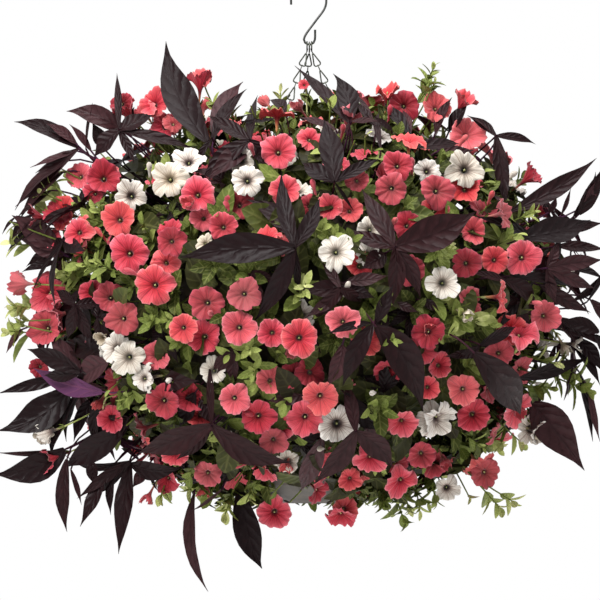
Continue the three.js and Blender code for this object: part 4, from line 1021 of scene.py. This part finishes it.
class BASKET_OT_blooms(bpy.types.Operator):
    """Make every bloom in place of its solid, and the spare ones between them."""

    bl_idname = "basket.blooms"
    bl_label = "Blooms"

    def execute(self, context):
        # Coral petals: red-pink round a wine-red throat, paler at the rim.
        coral = petal_material(
            "Coral petunia petal",
            ((0.07, "#c7a372"), (0.10, "#96543f"), (0.13, "#5e1119"), (0.17, "#86182a"),
             (0.28, "#a31e2e"), (0.50, "#b83344"), (0.78, "#c54b58"), (0.93, "#c65c68"),
             (1.0, "#d08087")), "#7a1a2b", "#4a0614",
            ((0.0, "#b2647f"), (0.3, "#e2a9b9"), (0.55, "#ffffff"), (0.78, "#ffe9d6"),
             (1.0, "#ffd9bd")), "#8f4a48", "#f0a3a2")
        # White petals: warm white with a dark throat that runs out along the veins.
        white = petal_material(
            "White petunia petal",
            ((0.07, "#b5ad7c"), (0.105, "#4d4034"), (0.15, "#1f1518"), (0.23, "#574642"),
             (0.35, "#a4978f"), (0.50, "#c9c1b9"), (0.85, "#cfcac4"), (1.0, "#d2cec9")),
            "#80695f", "#2b181a",
            ((0.0, "#e2ded6"), (0.5, "#ffffff"), (1.0, "#f4f0ea")), "#b8a684", "#e8e2c8")
        settings = context.scene.basket_flowers
        rng = np.random.default_rng(41)
        bunches = {n: read_blooms(n) for n in nodes_named("coral_blooms", "white_blooms")}
        spare = {name: [] for name in bunches}
        for table, kind in ((SPARE_CORAL, "coral"), (SPARE_WHITE, "white")):
            for column, row, width, share in table:
                place = from_picture(column, row, share)
                axis = unit(0.5 * outward(place) + rng.uniform(-0.3, 0.3, 3) + (0, -0.8, 0.1))
                spare[nearest_bunch(bunches, place, kind)].append(
                    (place, axis, crosswise(axis, rng.normal(size=3)),
                     width * METRES_PER_PIXEL / 2))
        taken = [row[0] for name in bunches for row in bunches[name] + spare[name]]
        for _, direction in spread(settings.filling, 0.95, 1.85, 1.3):
            place = shell(direction + rng.uniform(-0.05, 0.05, 3), rng.uniform(0.5, 0.75))
            if min(norm(t - place) for t in taken) < FILLING_GAP:
                continue
            taken.append(place)
            kind = "white" if rng.uniform() < 0.14 else "coral"
            axis = unit(outward(place) + rng.uniform(-0.4, 0.4, 3) + (0, 0, 0.15))
            spare[nearest_bunch(bunches, place, kind)].append(
                (place, axis, crosswise(axis, rng.normal(size=3)), rng.uniform(0.017, 0.022)))
        buds = self.buds(bunches, settings.buds, rng)
        FACES.clear()
        for name, held in bunches.items():
            patch = Patch()
            for place, ahead, withered in buds[name]:
                bud(patch, place, ahead, settings.bud_length, rng, withered)
            kind, number = name.split("_blooms_")
            petal, notch = (coral, 0.14) if kind == "coral" else (white, 0.25)
            for middle, axis, first, radius in held + spare[name]:
                bloom(patch, middle, axis, first, radius, rng, notch)
                FACES.append((middle, axis, radius))
            patch.piece(kind + "_petunias_" + number, [petal, petunia_green()],
                        kind + "_petal", name)
        return {"FINISHED"}

    def buds(self, bunches, count, rng):
        """Places of the buds and the withered blooms, each with the nearest bunch."""
        found = {name: [] for name in bunches}
        places = [(from_picture(column, row, 1.0), True) for column, row in WITHERED]
        for _, direction in spread(count, 0.95, 1.85, 2.2):
            places.append((shell(direction, rng.uniform(0.8, 1.02)), rng.uniform() < 0.25))
        for place, withered in places:
            up = -0.5 if withered else 0.5
            ahead = unit(outward(place) + (0, 0, up) + rng.uniform(-0.5, 0.5, 3))
            found[nearest_bunch(bunches, place)].append((place - 0.02 * ahead, ahead, withered))
        return found


class BASKET_OT_dark_leaves(bpy.types.Operator):
    """Make the dark lobed leaves in place of their solids."""

    bl_idname = "basket.dark_leaves"
    bl_label = "Dark lobed leaves"

    def execute(self, context):
        # Sweet potato leaf: purple-black skin with a grey bloom, red-purple underneath.
        top = leaf_material("Dark vine leaf", ((0.1, "#130709"), (0.4, "#1b0b0d"),
                                               (0.65, "#271214"), (0.95, "#3d2427")),
                            "#120507", 0.45, 6.0, 0.42, quilt=1.1)
        under = leaf_material("Dark vine leaf underside", ((0.1, "#240d14"), (0.5, "#371823"),
                                                           (0.8, "#42223a"), (1.0, "#4f2b49")),
                              "#66394e", 0.5, 6.0, 0.55, quilt=1.3)
        rng = np.random.default_rng(42)
        for name in nodes_named("vine"):
            patch = Patch()
            for middle, tips, normal in read_leaves(name):
                lobed_leaf(patch, middle, tips, normal, rng, middle[1] < -0.05)
                reach = norm(tips - middle, axis=1).mean()
                FACES.append((middle, normal, 0.5 * reach))
            patch.piece("dark_" + name, [top, under], "dark_leaf", name)
        front = Patch()
        for row in BENT_BLADES + DARK_BLADES + [PURPLE_BLADE]:
            width, share = row[-2:]
            base = from_picture(row[0], row[1], share - 0.1)
            tip = from_picture(row[-4], row[-3], share + 0.1)
            knee = from_picture(row[2], row[3], share) if row in BENT_BLADES else None
            normal = unit(outward(0.5 * (base + tip)) + (0, -0.8, 0.2)
                          + rng.uniform(-0.35, 0.35, 3))
            tint = rng.uniform(0, 1)
            kinds = (0, 1)
            if row is PURPLE_BLADE:
                kinds, tint = (1, 0), 1.0
            blade(front, base, tip, crosswise(tip - base, normal), width * METRES_PER_PIXEL,
                  (tint, rng.uniform(0, 1), 0.0), rng, kinds, knee)
            stalk(front, base, base - 0.35 * (tip - base) - 0.02 * normal, tint, LEAF_STALK, 7)
        front.piece("dark_blades_front", [top, under], "dark_leaf")
        self.round_leaves(top, under, context.scene.basket_foliage.lobed_leaves, rng)
        return {"FINISHED"}

    def round_leaves(self, top, under, count, rng):
        """More lobed leaves on the sides and the back, spread evenly by rule."""
        patch = Patch()
        spots = np.array([face[0] for face in FACES])
        for k, direction in spread(count, 0.92, 1.8, 0.4):
            front = direction[1] < -0.25 and abs(direction[0]) < 0.82
            middle = shell(direction, rng.uniform(*((0.5, 0.72) if front else (0.55, 1.0))))
            gap = np.hypot(spots[:, 0] - middle[0], spots[:, 2] - middle[2])
            if direction[1] < 0 and gap[spots[:, 1] < 0].min() < (0.026 if front else 0.018):
                continue
            normal = unit(outward(middle) + (0, 0, 0.25) + rng.uniform(-0.3, 0.3, 3))
            first = crosswise(normal, rng.normal(size=3) + (0, 0, -0.6))
            second = np.cross(normal, first)
            size = rng.uniform(*((0.035, 0.060) if front else (0.045, 0.095)))
            flare = rng.uniform(-0.5, 0.25) if k % 3 == 0 else 0.25
            lobes = int(rng.integers(3, 7))
            tips = []
            for j in range(lobes):
                turn = (j - (lobes - 1) / 2) * rng.uniform(0.75, 0.95)
                reach = size * (1 - 0.45 * abs(turn) / 2.4) * rng.uniform(0.85, 1.1)
                tips.append(middle + reach * (math.cos(turn) * first + math.sin(turn) * second)
                            - flare * reach * normal)
            lobed_leaf(patch, middle, tips, normal, rng)
        patch.piece("dark_leaves_round", [top, under], "dark_leaf")


def nearest_bearing(bearings, point):
    """The name of the sector that looks towards a point."""
    bearing = math.atan2(point[1], point[0])
    return min(bearings, key=lambda n: abs((bearing - bearings[n] + math.pi) % (2 * math.pi)
                                           - math.pi))


class BASKET_OT_foliage(bpy.types.Operator):
    """Make the leafy heart, a dark mass of painted shade, its shoots and their leaves in place of
    the leafy solids.
    """

    bl_idname = "basket.foliage"
    bl_label = "Green leaves"

    def execute(self, context):
        settings = context.scene.basket_foliage
        rng = np.random.default_rng(43)
        # The heart, matted old leaves and stems 14 mm apart: matt, and painted nearly black as
        # shade, a dark mass that stands for the shade deep inside the ball.
        mat = {"Scale": 70.0}
        heart = finish("Matted old leaves in painted shade", "TexVoronoi", mat,
                       ((0.0, "#33270f"), (0.6, "#20150a"), (1.0, "#120a06")), (mat, 1.0, 0.006),
                       Roughness=0.9)
        names = nodes_named("leafy_shoots")
        patches = {name: Patch() for name in names}
        bearings = {}
        for name in names:
            centre = welded(name)[0].mean(axis=0)
            bearings[name] = math.atan2(centre[1], centre[0])
            self.heart(patches[name], bearings[name], len(names))
        self.shoots(patches, bearings, settings, rng)
        self.shaded_old_leaves(patches, bearings, settings, rng)
        for name in names:
            patches[name].piece(name.replace("leafy", "green"), [heart, petunia_green()],
                                "green_leaf", name)
        return {"FINISHED"}

    def heart(self, patch, bearing, sectors):
        """One sector of the bumpy heart, a dark mass of painted shade inside the ball."""
        rows, columns = 28, 10
        points = []
        for e in np.linspace(-math.pi / 2, math.pi / 2, rows):
            for a in bearing + np.linspace(-math.pi / sectors, math.pi / sectors, columns):
                direction = np.array([math.cos(e) * math.cos(a), math.cos(e) * math.sin(a),
                                      math.sin(e)])
                bumps = (math.sin(9 * a + 3) * math.sin(11 * e)
                         + math.sin(17 * e + 4 * math.cos(9 * a)))
                points.append(shell(direction, -0.12 + 0.03 * bumps * math.cos(e)))
        patch.add(points, net(rows, columns), (0, 0, 0), (0.5, 0.5, 0.5))

    def shoots(self, patches, bearings, settings, rng):
        """Grow shoots from the heart, each with its leaves."""
        faces = tuple(np.array(column) for column in zip(*FACES, POT_FOOT))
        tips = []
        for _, direction in spread(settings.shoots, 1.0, 2.0):
            direction = unit(direction + rng.uniform(-0.06, 0.06, 3))
            share = rng.uniform(0.35, 1.0) ** 0.7
            tips.append((shell(direction, share * (1.0 if direction[2] < 0.5 else 0.92)), FULL))
        for place in YOUNG_SHOOTS:
            tips.append((from_picture(*place, 1.0), YOUNG))
        for place in TRAILING_SHOOTS:
            tips.append((from_picture(*place, 1.0) - (0, 0, 0.004), TRAILING))
        for _, direction in spread(OUTER_SHOOTS, 0.97, 1.9, 0.9):
            tips.append((shell(direction, rng.uniform(1.0, 1.22)), YOUNG))
        for tip, size in tips:
            self.shoot(patches[nearest_bearing(bearings, tip)], tip, size, faces,
                       size * settings.leaf_length, rng)

    def shoot(self, patch, tip, size, faces, leaf_length, rng):
        """One shoot, if it finds a way that hides no bloom, with the leaves round its end."""
        outside = outward(tip)
        for _ in range(TRIES):
            root = shell(tip - BALL_MIDDLE + rng.uniform(-0.05, 0.05, 3), -0.1)
            lean = unit(outside + np.array([0, 0, 0.55]) + rng.uniform(-0.5, 0.5, 3))
            knee = root + (tip - root) * 0.5 - 0.02 * lean
            path = bend(root, knee, tip, np.linspace(0, 1, 6))
            if size == TRAILING or not any(hides(point, faces) for point in path[1:]):
                break
        else:
            return
        rod(patch, path, np.linspace(*SHOOT_RADII, 6), 5, (0.55, 0.5, 0.0), 1)
        ahead = unit(path[-1] - path[-2])
        first = crosswise(ahead, rng.normal(size=3))
        second = np.cross(ahead, first)
        tint = rng.uniform(0.08, 0.68)
        # Shoots deep in the ball have old leaves, and old also carries painted shade: their leaves
        # are darkened towards brown-black the deeper they lie.
        old = 0.78 * (1 - smooth(0.72, 0.98, norm((tip - BALL_MIDDLE) / BALL_HALF)))
        count = int(rng.integers(8, 12) if size == YOUNG else rng.integers(6, 10))
        if size != FULL:
            tint, old = rng.uniform(0.50, 0.88), 0.0
        for j in range(count):
            back = (count - 1 - j) / count
            a = j * GOLDEN_TURN
            out = math.cos(a) * first + math.sin(a) * second
            place = tip - ahead * LEAFY_END * back
            direction = unit(ahead + (0.45 + 1.5 * back) * out)
            length = leaf_length * (0.38 + 0.75 * back) * rng.uniform(0.8, 1.2)
            slim = rng.uniform(*((0.36, 0.48) if size == YOUNG else (0.46, 0.60)))
            middle = place + direction * length * 0.6
            if bare(middle) or (size == YOUNG and clear(middle)) or before(middle, faces):
                continue
            if any(hides(place + direction * length * part, faces) for part in (0.3, 0.6, 0.95)):
                continue
            normal = crosswise(direction, 0.6 * ahead + 0.3 * out + 0.7 * outside)
            droop = rng.uniform(0.05, 0.35)
            tone = np.clip(tint + 0.25 * (0.5 - back) + rng.uniform(-0.1, 0.1), 0, 1)
            # The shade's last part is age and painted shade: deeper leaves are painted darker.
            green_leaf(patch, place, direction, normal, length, length * slim, droop,
                       (tone, rng.uniform(0, 1), old))

    def shaded_old_leaves(self, patches, bearings, settings, rng):
        """Large old leaves under the blooms, painted dark brown as shade, which close the gaps
        between them.
        """
        for _, direction in spread(settings.shaded_old_leaves, 0.94, 1.86, 2.9):
            place = shell(direction + rng.uniform(-0.05, 0.05, 3), rng.uniform(0.0, 0.62))
            if bare(place):
                continue
            outside = outward(place)
            ahead = unit(crosswise(outside, rng.normal(size=3)) + rng.uniform(0.1, 0.9) * outside)
            normal = crosswise(ahead, outside + rng.uniform(-0.5, 0.5, 3))
            length = settings.leaf_length * rng.uniform(1.1, 1.6)
            # Painted shade: a low tone and much of the leaf finish's brown-black darken these deep
            # leaves.
            green_leaf(patches[nearest_bearing(bearings, place)], place, ahead, normal, length,
                       length * rng.uniform(0.5, 0.62), rng.uniform(0.1, 0.4),
                       (rng.uniform(0.05, 0.45), rng.uniform(0, 1), rng.uniform(0.45, 0.85)))


class BASKET_PT_panel(bpy.types.Panel):
    """Lists the basket's makers in the sidebar."""

    bl_label = "Hanging basket"
    bl_idname = "BASKET_PT_panel"
    bl_space_type = "VIEW_3D"
    bl_region_type = "UI"
    bl_category = "Basket"

    def draw(self, context):
        layout = self.layout
        for group in ("basket_stage", "basket_flowers", "basket_foliage"):
            settings = getattr(context.scene, group)
            for name in settings.__annotations__:
                layout.prop(settings, name)
        for operator in OPERATORS:
            layout.operator(operator.bl_idname)


OPERATORS = (BASKET_OT_stage, BASKET_OT_pot, BASKET_OT_hanger, BASKET_OT_blooms,
             BASKET_OT_dark_leaves, BASKET_OT_foliage)
GROUPS = (("basket_stage", StageSettings), ("basket_flowers", FlowerSettings),
          ("basket_foliage", FoliageSettings))


def register():
    """Register the classes and hang their settings on the scene."""
    for _, group in GROUPS:
        bpy.utils.register_class(group)
    for operator in OPERATORS:
        bpy.utils.register_class(operator)
    bpy.utils.register_class(BASKET_PT_panel)
    for name, group in GROUPS:
        setattr(bpy.types.Scene, name, PointerProperty(type=group))


def unregister():
    """Take the settings and classes away again."""
    for name, _ in GROUPS:
        delattr(bpy.types.Scene, name)
    bpy.utils.unregister_class(BASKET_PT_panel)
    for operator in reversed(OPERATORS):
        bpy.utils.unregister_class(operator)
    for _, group in reversed(GROUPS):
        bpy.utils.unregister_class(group)


def main():
    """Build everything."""
    register()
    for operator in OPERATORS:
        group, name = operator.bl_idname.split(".")
        getattr(getattr(bpy.ops, group), name)()


if __name__ == "__main__":
    main()
